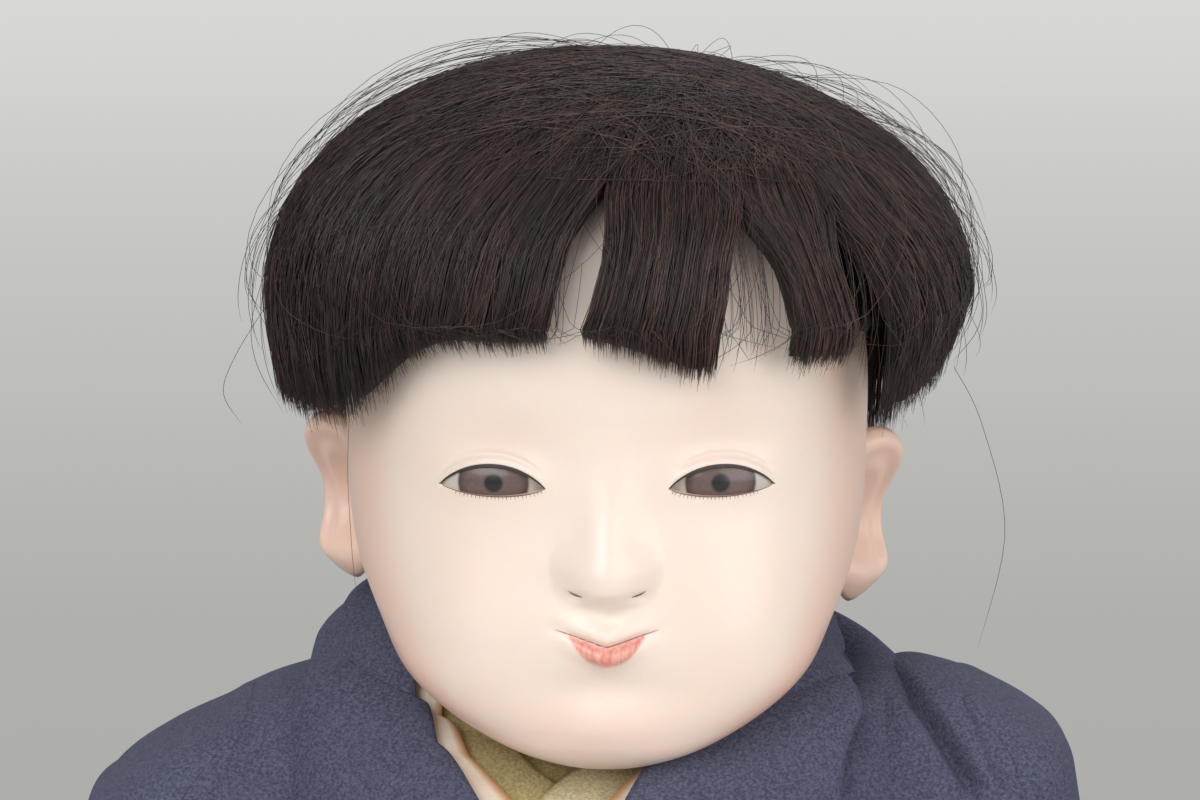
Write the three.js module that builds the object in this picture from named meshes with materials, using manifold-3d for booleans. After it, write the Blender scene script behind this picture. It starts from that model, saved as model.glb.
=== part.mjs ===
// Ichimatsu doll, about half a metre tall, standing in a crepe kimono.
// Millimetres, +Z up, the soles on z = 0. The face looks along -Y and the doll's left is +X.
import * as THREE from 'three';
import { mergeVertices } from 'three/addons/utils/BufferGeometryUtils.js';
import Module from 'manifold-3d';

const wasm = await Module();
wasm.setup();

const { degToRad, lerp, smoothstep, clamp } = THREE.MathUtils;

// Fits
const GAP = 0.4; // between pieces that touch
const RUNNING_GAP = 0.5; // between pieces that turn on each other
const CLOTH = 1.2; // kimono crepe with its lining
const THIN_CLOTH = 0.8; // under-kimono and inner collars
const LAYER_GAP = 1.05; // between layers of cloth
const BODY_EASE = 1.4; // between the torso and the first layer of cloth

// Heights: each level of the body stands above the one below it
const HIP_HEIGHT = 168;
const WAIST_RISE = 78;
const CHEST_RISE = 53;
const ARM_RISE = 28;
const SHOULDER_RISE = 15;
const NECK_RISE = 5;
const COLLAR_RISE = 6;

// The body under the clothes, from the hem up to the top of the collar.
// Each level gives the height, half width, half depth, the centre's y and the fall towards the front.
const HEM = { height: 0, halfWidth: 60, halfDepth: 52, centre: 0, tilt: 0 };
const HIP = { height: HIP_HEIGHT, halfWidth: 50.5, halfDepth: 42, centre: 0, tilt: 0 };
const WAIST = { height: HIP.height + WAIST_RISE, halfWidth: 46, halfDepth: 36, centre: 0, tilt: 0 };
const CHEST = { height: WAIST.height + CHEST_RISE, halfWidth: 50, halfDepth: 36, centre: 0, tilt: 0 };
const ARM_TOP = { height: CHEST.height + ARM_RISE, halfWidth: 51.5, halfDepth: 35, centre: 2, tilt: 0.08 };
const SHOULDER = {
  height: ARM_TOP.height + SHOULDER_RISE,
  halfWidth: 48, halfDepth: 29,
  centre: 4, tilt: 0.3,
};
const NECK_BASE = {
  height: SHOULDER.height + NECK_RISE,
  halfWidth: 41.5, halfDepth: 25.7,
  centre: 6, tilt: 0.36,
};
const COLLAR_TOP = {
  height: NECK_BASE.height + COLLAR_RISE,
  halfWidth: 33, halfDepth: 25,
  centre: 6, tilt: 0.34,
};
const BODY = [COLLAR_TOP, NECK_BASE, SHOULDER, ARM_TOP, CHEST, WAIST, HIP, HEM];
const LEVEL = { collar: 0, neck: 1, shoulder: 2, arm: 3, chest: 4, waist: 5, hip: 6, hem: 7 };
const BODY_FULLNESS = 2.3; // exponent of the oval sections
const ANGLE_STEP = 15; // degrees between the columns of every layer
const SKIRT_FOLDS = 6; // folds round the skirt
const SKIRT_FOLD_DEPTH = 2;
const OVERLAP_SEAM = 30; // degrees from the front to the seam of each overlap panel

// Cloth layers, as the distance of each inner face from the body
const UNDER_KIMONO_LAYER = 0;
const INNER_PANEL_LAYER = UNDER_KIMONO_LAYER + THIN_CLOTH + LAYER_GAP;
const OUTER_PANEL_LAYER = INNER_PANEL_LAYER + CLOTH + LAYER_GAP;
const SASH_LAYER = OUTER_PANEL_LAYER + CLOTH + LAYER_GAP;
const SASH_THICKNESS = 2.6;

// Collars: each pair crosses in front, the doll's left half over its right
const UNDER_COLLAR_LAYER = INNER_PANEL_LAYER;
const COLLAR_STEP = THIN_CLOTH + 0.6;
const CREAM_COLLAR_LAYER = UNDER_COLLAR_LAYER + 2 * COLLAR_STEP;
const KIMONO_COLLAR_LAYER = CREAM_COLLAR_LAYER + 2 * COLLAR_STEP;
const KIMONO_COLLAR_THICKNESS = 1.6;
const KIMONO_COLLAR_STEP = KIMONO_COLLAR_THICKNESS + GAP;
const CREAM_SHOWS = 0.06; // share of the collar's width that the cream strip stands proud
const UNDER_SHOWS = 0.2; // share that the under collar stands proud
const INNER_COLLAR_END = 0.38; // share where both end under the kimono collar
const PANEL_START = 0.84; // share where the kimono's panels start under its collar
const LEFT_INNER_END = 0.75; // how far the left inner collars run before the kimono's band covers them
const COLLAR_COLUMNS = 16;
// At the nape each collar lies on the one below it, and the band's outer edge on the panels
const NAPE_GAP = 0.75;
const NAPE_END = 0.1; // share of the length where the collars start to stand off, and where they do
const NAPE_FULL = 0.3;
const BAND_TURN = 0.45; // share of the band's width where it starts to turn down, and where it is down
const BAND_DOWN = 0.85;
const CREAM_NAPE_LAYER = UNDER_COLLAR_LAYER + THIN_CLOTH + NAPE_GAP;
const KIMONO_NAPE_LAYER = CREAM_NAPE_LAYER + THIN_CLOTH + NAPE_GAP;
const BAND_SEAT_LAYER = INNER_PANEL_LAYER + CLOTH + NAPE_GAP;

// Head, with heights as the rise from the line of the eyes
const CHIN_SINK = 5.5; // chin below the top of the shoulders
const HEAD_SECTIONS = [
  { rise: -49.5, halfWidth: 0, front: -31, back: -31 },
  { rise: -46.5, halfWidth: 13, front: -41, back: -22 },
  { rise: -41, halfWidth: 24, front: -44, back: -13 },
  { rise: -34, halfWidth: 32.5, front: -45, back: -3 },
  { rise: -26, halfWidth: 37.2, front: -45.2, back: 14 },
  { rise: -15, halfWidth: 41.6, front: -44.5, back: 35 },
  { rise: 0, halfWidth: 43.2, front: -43.5, back: 46 },
  { rise: 20, halfWidth: 42.6, front: -43.4, back: 49 },
  { rise: 40, halfWidth: 35.5, front: -37, back: 44 },
  { rise: 53, halfWidth: 22, front: -23, back: 30 },
  { rise: 59.5, halfWidth: 0, front: 4, back: 4 },
];
const SECTION_MIDDLE = 0.46; // share of a section's depth where its front half meets its back half
const FACE_FULLNESS = 2.45; // exponents of the sections' front and back halves
const SKULL_FULLNESS = 2.1;
const HEAD_WALL = 4.5;
const HEAD_SPLIT = 13; // y of the joint between the face and the back of the head
const EYE = { across: 18.3, rise: -0.3, halfWidth: 8.3, halfHeight: 2.5, tilt: 3 };
const EYE_GLASS = { halfWidth: 10.5, depth: 6, halfHeight: 6.5, sink: 0.9, yaw: 16 };
// What stands out of the face: how far, its place across and above the eyes, its spread each way
const FEATURES = {
  noseTip: { out: 7.4, across: 0, rise: -14.6, wide: 4.8, tall: 5 },
  noseWings: { out: 3.2, across: 6.4, rise: -15.6, wide: 3, tall: 3.4 },
  sockets: { out: -1.5, across: 17, rise: 2, wide: 9, tall: 7 },
  lids: { out: 1.2, across: EYE.across, rise: 0, wide: 8, tall: 4.4 },
  cheeks: { out: 2, across: 24, rise: -24, wide: 12, tall: 12 },
  muzzle: { out: 1.5, across: 0, rise: -26, wide: 12, tall: 8 },
  upperLip: { out: 1.4, across: 0, rise: -23.2, wide: 5, tall: 2 },
  lowerLip: { out: 1.8, across: 0, rise: -28.2, wide: 5.2, tall: 2.3 },
  lipHollow: { out: -0.9, across: 0, rise: -33, wide: 8, tall: 2.8 },
  chin: { out: 1.8, across: 0, rise: -40.5, wide: 9, tall: 5 },
};
const NOSE_BRIDGE = { out: 1.5, wide: 3.4, foot: -16, full: -4, top: 12 };
const EAR = { height: 28, depth: 15, thickness: 6, flare: 38, lean: 8, y: 2 };
const EAR_RISE_RIGHT = -11;
const EAR_RISE_LEFT = -12;

// Neck
const NECK_Y = 4;
const NECK_RADIUS = 15;
const NECK_TOP_RISE = -16;
const NECK_SEAT_DEPTH = 6; // socket below the top of the shoulder plate
const PLUG_RADIUS = 9;
const PLUG_LENGTH = 20;

// Wig
const WIG_CAP_THICKNESS = 0.8;
const FACET_ROOM = 0.85; // keeps the flats of a round piece clear of the piece under it
const WIG_CAP_LAYER = GAP + FACET_ROOM; // inside of the cap above the skull
const HAIR_LAYER = WIG_CAP_LAYER + WIG_CAP_THICKNESS + GAP + FACET_ROOM;
const HAIR_DEPTH = 8;
const HAIR_OVER_SIDES = 15; // the hair's half width beyond the skull's
const HAIR_OVER_FRONT = 8;
const HAIR_OVER_BACK = 10;
const HAIR_OVER_CROWN = 5.5;
const HAIR_SHIFT = 2; // towards the doll's left
const HAIR_WIDEST_RISE = 26;
const HAIR_FULLNESS = 2.35; // exponent of the hair's plan
const HAIR_DOME_FULLNESS = 2; // exponent of its outline from the crown down
const HAIR_DOME_SHARE = 0.62; // of the way from the crown to the cut edge
const CROWN_SHARE = 0.2; // part of the dome that the crown piece covers
const HAIR_CUT = { fringeRight: 24, fringeLeft: 20, temple: 9, overEar: 7, nape: -12 }; // rise of the edge
const HAIR_TUCK = 0.03; // share by which the hanging hair draws in towards its edge
const LOCK_PARTING = 0.006; // between the crown piece and the locks
const CAP_END = 0.94; // share of the hair that the wig cap reaches

// Arms
const ARM_RADIUS = 9.5;
const ARM_SEAT = 47; // x of the flat arm seats on the shoulder plate
const SHOULDER_PIVOT = { y: 2, height: ARM_TOP.height - 1 };
const UPPER_ARM_DROP = 58; // shoulder to elbow
const ELBOW_RADIUS = 8.2;
const ELBOW_BEND = 34; // degrees forwards at rest
const FOREARM_LENGTH = 45;
const PALM = { halfThickness: 4.4, halfWidth: 7.6, halfLength: 10 };
const FINGER_RADIUS = 2.2;
const FINGER_LENGTH = 14;
const BINDING_WIRE = 1.1; // radius of a wound thread band
const ARM_SPREAD = 7; // the sleeves stand out from the body below the shoulder
const SPREAD_FROM = 4; // drop below the sleeve's top where that starts and is full
const SPREAD_TO = 60;
const ARM_EASE = 1.4; // between the arm and the sleeve
const SLEEVE_ROOM = 0.6; // round the arm where it enters the sleeve, which it carries
const ARMHOLE_ROOM = 1.5; // round the arm where it leaves the clothes

// Sleeves, as heights below the sleeve's top with the reach out from the armhole plane
const SLEEVE_SECTIONS = [
  { drop: 0, reach: 2.5, halfDepth: 6, centre: 4 },
  { drop: 3, reach: 9, halfDepth: 15, centre: 4 },
  { drop: 7, reach: 16, halfDepth: 21, centre: 4 },
  { drop: 14, reach: 21.5, halfDepth: 26, centre: 4 },
  { drop: 35, reach: 25, halfDepth: 32, centre: 6 },
  { drop: 80, reach: 26, halfDepth: 36, centre: 9 },
  { drop: 130, reach: 26, halfDepth: 37, centre: 10 },
  { drop: 146, reach: 23, halfDepth: 33, centre: 10 },
  { drop: 152, reach: 14, halfDepth: 25, centre: 10 },
];
const SLEEVE_TOP = SHOULDER.height + 5;
const SLEEVE_FULLNESS = 2.4;
const CUFF = { top: 74, bottom: 140, depth: 13 }; // drop of the cuff opening's ends

// Legs
const LEG_SPREAD = 21; // x of the hips
const HIP_PIVOT = HIP.height - 2;
const THIGH_RADIUS = 17;
const KNEE = 92;
const KNEE_RADIUS = 14.5;
const CALF_RADIUS = 15;
const ANKLE_RADIUS = 9;
const FOOT = { length: 54, halfWidth: 10.5, height: 15, heel: 15 };
const TOE_RADIUS = 3.3;
const HEM_LIFT = 22; // the front hem is carried clear of the feet

// Sash
const SASH_WIDTH = 40;
const SASH_TOP = WAIST.height + SASH_WIDTH / 2;
const SASH_BOTTOM = WAIST.height - SASH_WIDTH / 2;
const SASH_FOLD = 3; // thickness of each folded end at the back

// Materials
const matte = (color, roughness) => new THREE.MeshStandardMaterial({ color, roughness, metalness: 0 });
const lacquer = matte(0xf4e2d2, 0.35);
const glass = matte(0x3a2c28, 0.08);
const hair = matte(0x1d1716, 0.5);
const capCloth = matte(0x2a2524, 0.9);
const muslin = matte(0xe2d6bd, 0.9);
const thread = matte(0x8c7d63, 0.8);
const navyCrepe = matte(0x3f4461, 0.85);
const creamSilk = matte(0xe8dabb, 0.6);
const greenCrepe = matte(0xb6ad68, 0.85);
const sashCloth = matte(0x7a5a3a, 0.8);

// Small helpers
const vec = (x, y, z) => new THREE.Vector3(x, y, z);
const power = (value, exponent) => Math.sign(value) * Math.abs(value) ** exponent;
const bump = (distance, width) => Math.exp(-((distance / width) ** 2));

/** Turns points and triangles into a geometry that faces out, with shared and no empty corners. */
function closed(points, triangles) {
  const positions = points.flatMap((p) => [p.x, p.y, p.z]);
  let geometry = new THREE.BufferGeometry();
  geometry.setAttribute('position', new THREE.Float32BufferAttribute(positions, 3));
  geometry.setIndex(triangles.flat());
  geometry = mergeVertices(geometry, 1e-4);
  const index = Array.from(geometry.index.array);
  const corner = (i) => new THREE.Vector3().fromBufferAttribute(geometry.attributes.position, i);
  const kept = [];
  let volume = 0;
  for (let i = 0; i < index.length; i += 3) {
    const [a, b, c] = index.slice(i, i + 3);
    if (a === b || b === c || c === a) continue;
    kept.push([a, b, c]);
    volume += corner(a).dot(corner(b).cross(corner(c)));
  }
  geometry.setIndex(kept.flatMap(([a, b, c]) => (volume > 0 ? [a, b, c] : [a, c, b])));
  return geometry;
}

/** A closed solid between two surfaces, each a function of u and v from 0 to 1. */
function slab(outer, inner, columns, rows, wraps = false) {
  const points = [];
  const triangles = [];
  const perRow = wraps ? columns : columns + 1;
  for (const surface of [outer, inner]) {
    for (let r = 0; r <= rows; r += 1) {
      for (let c = 0; c < perRow; c += 1) points.push(surface(c / columns, r / rows));
    }
  }
  const at = (side, c, r) => side * perRow * (rows + 1) + r * perRow + (c % perRow);
  const quad = (a, b, c, d) => triangles.push([a, b, c], [a, c, d]);
  for (let c = 0; c < columns; c += 1) {
    for (let r = 0; r < rows; r += 1) {
      quad(at(0, c, r), at(0, c + 1, r), at(0, c + 1, r + 1), at(0, c, r + 1));
      quad(at(1, c, r), at(1, c, r + 1), at(1, c + 1, r + 1), at(1, c + 1, r));
    }
    quad(at(0, c, 0), at(1, c, 0), at(1, c + 1, 0), at(0, c + 1, 0));
    quad(at(0, c, rows), at(0, c + 1, rows), at(1, c + 1, rows), at(1, c, rows));
  }
  for (let r = 0; r < rows && !wraps; r += 1) {
    quad(at(0, 0, r), at(0, 0, r + 1), at(1, 0, r + 1), at(1, 0, r));
    quad(at(0, columns, r), at(1, columns, r), at(1, columns, r + 1), at(0, columns, r + 1));
  }
  return closed(points, triangles);
}

/** A closed solid through rings of equal length, with flat ends. */
function loft(rings) {
  const count = rings[0].length;
  const points = rings.flat();
  const triangles = [];
  for (let r = 0; r + 1 < rings.length; r += 1) {
    for (let c = 0; c < count; c += 1) {
      const next = (c + 1) % count;
      const [a, b] = [r * count + c, r * count + next];
      triangles.push([a, b, b + count], [a, b + count, a + count]);
    }
  }
  for (const [ring, first, turned] of [[rings[0], 0, true], [rings.at(-1), points.length - count, false]]) {
    const middle = ring.reduce((sum, p) => sum.add(p), vec(0, 0, 0)).divideScalar(count);
    const centre = points.push(middle) - 1;
    for (let c = 0; c < count; c += 1) {
      const [a, b] = [first + c, first + ((c + 1) % count)];
      triangles.push(turned ? [b, a, centre] : [a, b, centre]);
    }
  }
  return closed(points, triangles);
}

/** A round limb along points, with a radius at each. */
function limb(points, radii, sides) {
  const rings = points.map((point, i) => {
    const before = points[Math.max(i - 1, 0)];
    const after = points[Math.min(i + 1, points.length - 1)];
    const along = after.clone().sub(before).normalize();
    const across = vec(0, 1, 0).addScaledVector(along, -along.y).normalize();
    const third = along.clone().cross(across);
    return Array.from({ length: sides }, (_, s) => {
      const angle = (2 * Math.PI * s) / sides;
      return point.clone()
        .addScaledVector(across, radii[i] * Math.cos(angle))
        .addScaledVector(third, radii[i] * Math.sin(angle));
    });
  });
  return loft(rings);
}

function ellipsoid(centre, rx, ry, rz, around = 10, along = 6) {
  const geometry = new THREE.SphereGeometry(1, around, along);
  geometry.scale(rx, ry, rz);
  return geometry.translate(centre.x, centre.y, centre.z);
}

const ball = (centre, radius, around, along) => ellipsoid(centre, radius, radius, radius, around, along);

/** A round bar along Z, standing between two heights. */
function upright(radius, y, z0, z1, sides = 28) {
  const geometry = new THREE.CylinderGeometry(radius, radius, z1 - z0, sides);
  return geometry.rotateX(Math.PI / 2).translate(0, y, (z0 + z1) / 2);
}

/** A capsule between two points. */
function finger(from, to, radius) {
  const along = to.clone().sub(from);
  const geometry = new THREE.CapsuleGeometry(radius, along.length(), 2, 6);
  const turn = new THREE.Quaternion().setFromUnitVectors(vec(0, 1, 0), along.normalize());
  geometry.applyQuaternion(turn);
  const middle = from.clone().lerp(to, 0.5);
  return geometry.translate(middle.x, middle.y, middle.z);
}

function block(x0, x1, y0, y1, z0, z1) {
  const geometry = new THREE.BoxGeometry(x1 - x0, y1 - y0, z1 - z0);
  return geometry.translate((x0 + x1) / 2, (y0 + y1) / 2, (z0 + z1) / 2);
}

/** A round bar along X through a height and a y. */
function crossBar(radius, y, height, x0, x1, sides = 20) {
  const geometry = new THREE.CylinderGeometry(radius, radius, x1 - x0, sides);
  return geometry.rotateZ(Math.PI / 2).translate((x0 + x1) / 2, y, height);
}

/** Mirrors a shape that was made for the doll's left where the side is its right. */
const mirrorX = (geometry, side) => (side === 'left'
  ? geometry
  : geometry.applyMatrix4(new THREE.Matrix4().makeScale(-1, 1, 1)));

/** A solid that can be joined and cut. */
function solid(geometry) {
  const bare = geometry.clone();
  bare.deleteAttribute('normal');
  bare.deleteAttribute('uv');
  const merged = mergeVertices(bare, 1e-4);
  const points = [];
  const position = merged.attributes.position;
  for (let i = 0; i < position.count; i += 1) {
    points.push(new THREE.Vector3().fromBufferAttribute(position, i));
  }
  const triangles = [];
  const index = merged.index.array;
  for (let i = 0; i < index.length; i += 3) triangles.push(Array.from(index.slice(i, i + 3)));
  const whole = closed(points, triangles);
  return new wasm.Manifold(new wasm.Mesh({
    numProp: 3,
    vertProperties: new Float32Array(whole.attributes.position.array),
    triVerts: new Uint32Array(whole.index.array),
  }));
}

function geometryOf(manifold) {
  const mesh = manifold.getMesh();
  const geometry = new THREE.BufferGeometry();
  geometry.setAttribute('position', new THREE.BufferAttribute(mesh.vertProperties.slice(), 3));
  geometry.setIndex(Array.from(mesh.triVerts));
  return geometry;
}

const joined = (geometries) => geometries.map(solid).reduce((all, one) => all.add(one));

/** Runs smoothly through stations, each an object of numbers. at is a place such as 2.5. */
function along(stations, at, ends = {}) {
  const last = stations.length - 1;
  const i = clamp(Math.floor(at), 0, last - 1);
  const t = at - i;
  const before = stations[i - 1] ?? ends.before ?? stations[0];
  const after = stations[i + 2] ?? ends.after ?? stations[last];
  const value = {};
  for (const key of Object.keys(stations[0])) {
    const [p0, p1, p2, p3] = [before[key], stations[i][key], stations[i + 1][key], after[key]];
    const slope = p2 - p0;
    const bend = 2 * p0 - 5 * p1 + 4 * p2 - p3;
    const twist = 3 * (p1 - p2) + p3 - p0;
    value[key] = p1 + 0.5 * t * (slope + t * (bend + t * twist));
  }
  return value;
}

/** The place between start and end where a falling or rising measure equals a target. */
function solve(measure, target, start, end) {
  const rising = measure(end) > measure(start);
  let [low, high] = [start, end];
  for (let i = 0; i < 40; i += 1) {
    const middle = (low + high) / 2;
    if (measure(middle) < target === rising) low = middle;
    else high = middle;
  }
  return (low + high) / 2;
}

// Body surface. Angles are degrees from the front, towards the doll's left.
function bodyPoint(angle, level) {
  const at = along(BODY, level);
  const turn = degToRad(angle);
  const round = 2 / BODY_FULLNESS;
  const [across, forward] = [power(Math.sin(turn), round), power(Math.cos(turn), round)];
  const opening = smoothstep(level, LEVEL.waist + 0.4, LEVEL.hem);
  const fold = SKIRT_FOLD_DEPTH * opening * Math.cos(SKIRT_FOLDS * turn);
  const ahead = at.halfDepth * forward + fold * Math.cos(turn);
  return vec(at.halfWidth * across + fold * Math.sin(turn), at.centre - ahead, at.height - at.tilt * ahead);
}

/** The body surface moved out by a distance, level below the chest. */
function drape(angle, level, distance) {
  const step = 0.02;
  const place = clamp(level, step, LEVEL.hem - step);
  const round = bodyPoint(angle + 1, place).sub(bodyPoint(angle - 1, place));
  const down = bodyPoint(angle, place + step).sub(bodyPoint(angle, place - step));
  const out = down.cross(round).normalize();
  out.z *= 1 - smoothstep(level, LEVEL.chest - 0.5, LEVEL.chest + 0.5);
  return bodyPoint(angle, level).addScaledVector(out.normalize(), distance);
}

const levelAt = (height) => solve((level) => along(BODY, level).height, height, LEVEL.chest, LEVEL.hem);

/** Angles between two ends, on the same steps for every layer so that their flats stay parallel. */
function columnAngles(from, to) {
  const [low, high] = [Math.min(from, to), Math.max(from, to)];
  const angles = [low];
  for (let angle = Math.ceil((low + 1) / ANGLE_STEP) * ANGLE_STEP; angle < high - 1; angle += ANGLE_STEP) {
    angles.push(angle);
  }
  angles.push(high);
  return from < to ? angles : angles.reverse();
}

// Rows that every layer of the clothes has below its own top edge
const sashLevels = [levelAt(SASH_TOP), levelAt(SASH_BOTTOM)];
const sharedLevels = [sashLevels[0], LEVEL.waist, sashLevels[1], LEVEL.hip, 6.4];
const TOP_ROWS = 6;
const CLOTH_ROWS = TOP_ROWS + sharedLevels.length;

/** The level of a row between a layer's top edge and its hem. */
function rowLevel(top, hem, v) {
  const row = Math.round(v * CLOTH_ROWS);
  if (row <= TOP_ROWS) return lerp(top, sharedLevels[0], row / TOP_ROWS);
  return sharedLevels[row - TOP_ROWS] ?? hem;
}

/** A layer of cloth over a patch of the body, where place gives the angle and level of u and v. */
function layer(place, inside, thickness, columns, rows, wraps = false) {
  const surface = (extra) => (u, v) => {
    const [angle, level, lift = 0] = place(u, v);
    return drape(angle, level, inside + lift + extra);
  };
  return slab(surface(thickness), surface(0), columns, rows, wraps);
}

// Collar edges: angle and level from the nape to the front, for each half.
// The right half stands more open than the left, and the left crosses over it.
const COLLAR_EDGES = {
  right: {
    inner: [[-180, 0.05], [-115, 0.1], [-82, 0.45], [-60, 1.1], [-28, 2.6], [-12, 3.2], [0, 3.6]],
    outer: [[-180, 1.75], [-115, 1.8], [-88, 2.0], [-76, 2.4], [-62, 3.2], [-46, 3.85], [-33, 4.25]],
  },
  left: {
    inner: [[180, 0.05], [115, 0.8], [80, 1.1], [56, 1.7], [16, 2.75], [-12, 3.6], [-32, 4.3]],
    outer: [[180, 1.75], [115, 1.85], [82, 2.15], [66, 2.6], [50, 3.3], [24, 4.0], [-2, 4.5]],
  },
};

function collarEdge(side, edge, t) {
  const stations = COLLAR_EDGES[side][edge].map(([angle, level]) => ({ angle, level }));
  return along(stations, t * (stations.length - 1));
}

/** A place on the collar: t from the nape to the front, share from the inner to the outer edge. */
function collarPlace(side, t, share) {
  const inner = collarEdge(side, 'inner', t);
  const outer = collarEdge(side, 'outer', t);
  return [lerp(inner.angle, outer.angle, share), lerp(inner.level, outer.level, share)];
}

/** Half of a collar, from the nape seam to the crossing in front, with its layer in front and at the nape. */
function collarHalf(side, first, last, layers, thickness, step, rows, end = 1) {
  const { front, nape, edge = nape } = layers;
  const seam = 0.004;
  const rise = side === 'left' ? step : 0;
  const place = (u, v) => {
    const t = lerp(seam, end, u);
    const [angle, level] = collarPlace(side, t, lerp(first, last, v));
    const low = lerp(nape, edge, smoothstep(v, BAND_TURN, BAND_DOWN));
    const inside = lerp(low, front, smoothstep(t, NAPE_END, NAPE_FULL));
    return [angle, level, inside + rise * smoothstep(t, 0.25, 0.6)];
  };
  return layer(place, 0, thickness, Math.round(COLLAR_COLUMNS * end), rows);
}

/** The level where a kimono panel starts, under the middle of the collar band. */
function panelTop(side, angle) {
  const sign = side === 'left' ? 1 : -1;
  const share = PANEL_START;
  const toAngle = (t) => sign * collarPlace(side, t, share)[0];
  const lowest = toAngle(1);
  if (sign * angle <= lowest) return collarPlace(side, 1, share)[1];
  return collarPlace(side, solve(toAngle, sign * angle, 0, 1), share)[1];
}

/** The hem of the outer clothes, lifted in front. */
function hemLevel(angle) {
  const front = smoothstep(Math.cos(degToRad(angle)), 0.1, 0.75);
  return levelAt(HEM_LIFT * front);
}

/** A body panel of the kimono between two angles, lying further out towards the front if asked. */
function kimonoPanel(side, fromAngle, toAngle, raised) {
  const angles = columnAngles(fromAngle, toAngle);
  const columns = angles.length - 1;
  const place = (u, v) => {
    const angle = angles[Math.round(u * columns)];
    const forward = raised * smoothstep(Math.cos(degToRad(angle)), -0.35, 0.2);
    return [angle, rowLevel(panelTop(side, angle), hemLevel(angle), v), forward];
  };
  return layer(place, INNER_PANEL_LAYER, CLOTH, columns, CLOTH_ROWS);
}

// Head surface. Angles are degrees from the front, towards the doll's left.
const chinHeight = SHOULDER.height - CHIN_SINK;
const eyeHeight = chinHeight - HEAD_SECTIONS[0].rise;
const mirrored = (pole, next) => ({
  rise: next.rise,
  halfWidth: -next.halfWidth,
  front: 2 * pole.front - next.front,
  back: 2 * pole.back - next.back,
});
const HEAD_ENDS = {
  before: mirrored(HEAD_SECTIONS[0], HEAD_SECTIONS[1]),
  after: mirrored(HEAD_SECTIONS.at(-1), HEAD_SECTIONS.at(-2)),
};
const headSection = (place) => along(HEAD_SECTIONS, place, HEAD_ENDS);

/** How far the features of the face stand out, across and above the line of the eyes. */
function features(x, rise) {
  const side = Math.abs(x);
  const { out, wide, foot, full, top } = NOSE_BRIDGE;
  const bridge = out * bump(x, wide) * smoothstep(rise, foot, full) * smoothstep(-rise, -top, 0);
  const heights = Object.values(FEATURES).map((feature) => feature.out
    * bump(side - feature.across, feature.wide) * bump(rise - feature.rise, feature.tall));
  return heights.reduce((sum, height) => sum + height, bridge);
}

function headPoint(angle, place, withFeatures = true) {
  const { rise, halfWidth, front, back } = headSection(place);
  const middle = lerp(front, back, SECTION_MIDDLE);
  const turn = degToRad(angle);
  const [sine, cosine] = [Math.sin(turn), Math.cos(turn)];
  const round = 2 / (cosine > 0 ? FACE_FULLNESS : SKULL_FULLNESS);
  const reach = cosine > 0 ? middle - front : back - middle;
  const x = Math.max(halfWidth, 0) * power(sine, round);
  const forward = withFeatures && cosine > 0 ? features(x, rise) * smoothstep(cosine, 0, 0.4) : 0;
  return vec(x, middle - reach * power(cosine, round) - forward, eyeHeight + rise);
}

/** Columns lie closer together over the middle of the face. */
const faceAngle = (u) => {
  const half = 2 * u - 1;
  return 180 * Math.sign(half) * Math.abs(half) ** 1.45;
};

function headRings(columns, perSection, withFeatures) {
  const rings = [];
  const count = (HEAD_SECTIONS.length - 1) * perSection;
  for (let r = 1; r < count; r += 1) {
    const place = r / perSection;
    const point = (_, c) => headPoint(faceAngle(c / columns), place, withFeatures);
    rings.push(Array.from({ length: columns }, point));
  }
  return rings;
}

const headCentre = vec(0, 3, eyeHeight + 14);

/** Distance from the middle of the head to its surface, without the face's features. */
function headReach(direction) {
  const last = HEAD_SECTIONS.length - 1;
  const inside = (distance) => {
    const point = headCentre.clone().addScaledVector(direction, distance);
    const rise = point.z - eyeHeight;
    if (rise >= HEAD_SECTIONS[last].rise || rise <= HEAD_SECTIONS[0].rise) return 1;
    const place = solve((at) => headSection(at).rise, rise, 0, last);
    const { halfWidth, front, back } = headSection(place);
    const middle = lerp(front, back, SECTION_MIDDLE);
    const ahead = point.y < middle;
    const reach = ahead ? middle - front : back - middle;
    const fullness = ahead ? FACE_FULLNESS : SKULL_FULLNESS;
    const [x, y] = [Math.abs(point.x) / halfWidth, Math.abs(point.y - middle) / reach];
    return x ** fullness + y ** fullness - 1;
  };
  return solve(inside, 0, 1, 120);
}

/** A point on the head moved straight out from the middle of the head. */
function aboveHead(point, distance) {
  const direction = point.clone().sub(headCentre).normalize();
  return headCentre.clone().addScaledVector(direction, headReach(direction) + distance);
}

// Face shell, back of the head, eyes and ears
function earShape(side) {
  const { height, depth, thickness } = EAR;
  const dish = ellipsoid(vec(0, 0, 0), thickness / 2, depth / 2, height / 2, 10, 8);
  const hollowAt = vec(thickness * 0.42, -depth * 0.05, height * 0.09);
  const hollow = ellipsoid(hollowAt, thickness * 0.42, depth * 0.3, height * 0.3, 8, 6);
  const lobeAt = vec(thickness * 0.07, -depth * 0.11, -height * 0.36);
  const lobe = ellipsoid(lobeAt, thickness * 0.5, depth * 0.3, height * 0.17, 8, 6);
  const whole = geometryOf(solid(dish).subtract(solid(hollow)).add(solid(lobe)));
  whole.rotateX(degToRad(EAR.lean)).rotateZ(degToRad(-EAR.flare));
  const seat = headReach(vec(1, 0, 0)) + depth * 0.12;
  const rise = side === 'left' ? EAR_RISE_LEFT : EAR_RISE_RIGHT;
  whole.translate(seat, EAR.y + depth * 0.16, eyeHeight + rise);
  return mirrorX(whole, side);
}

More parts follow.
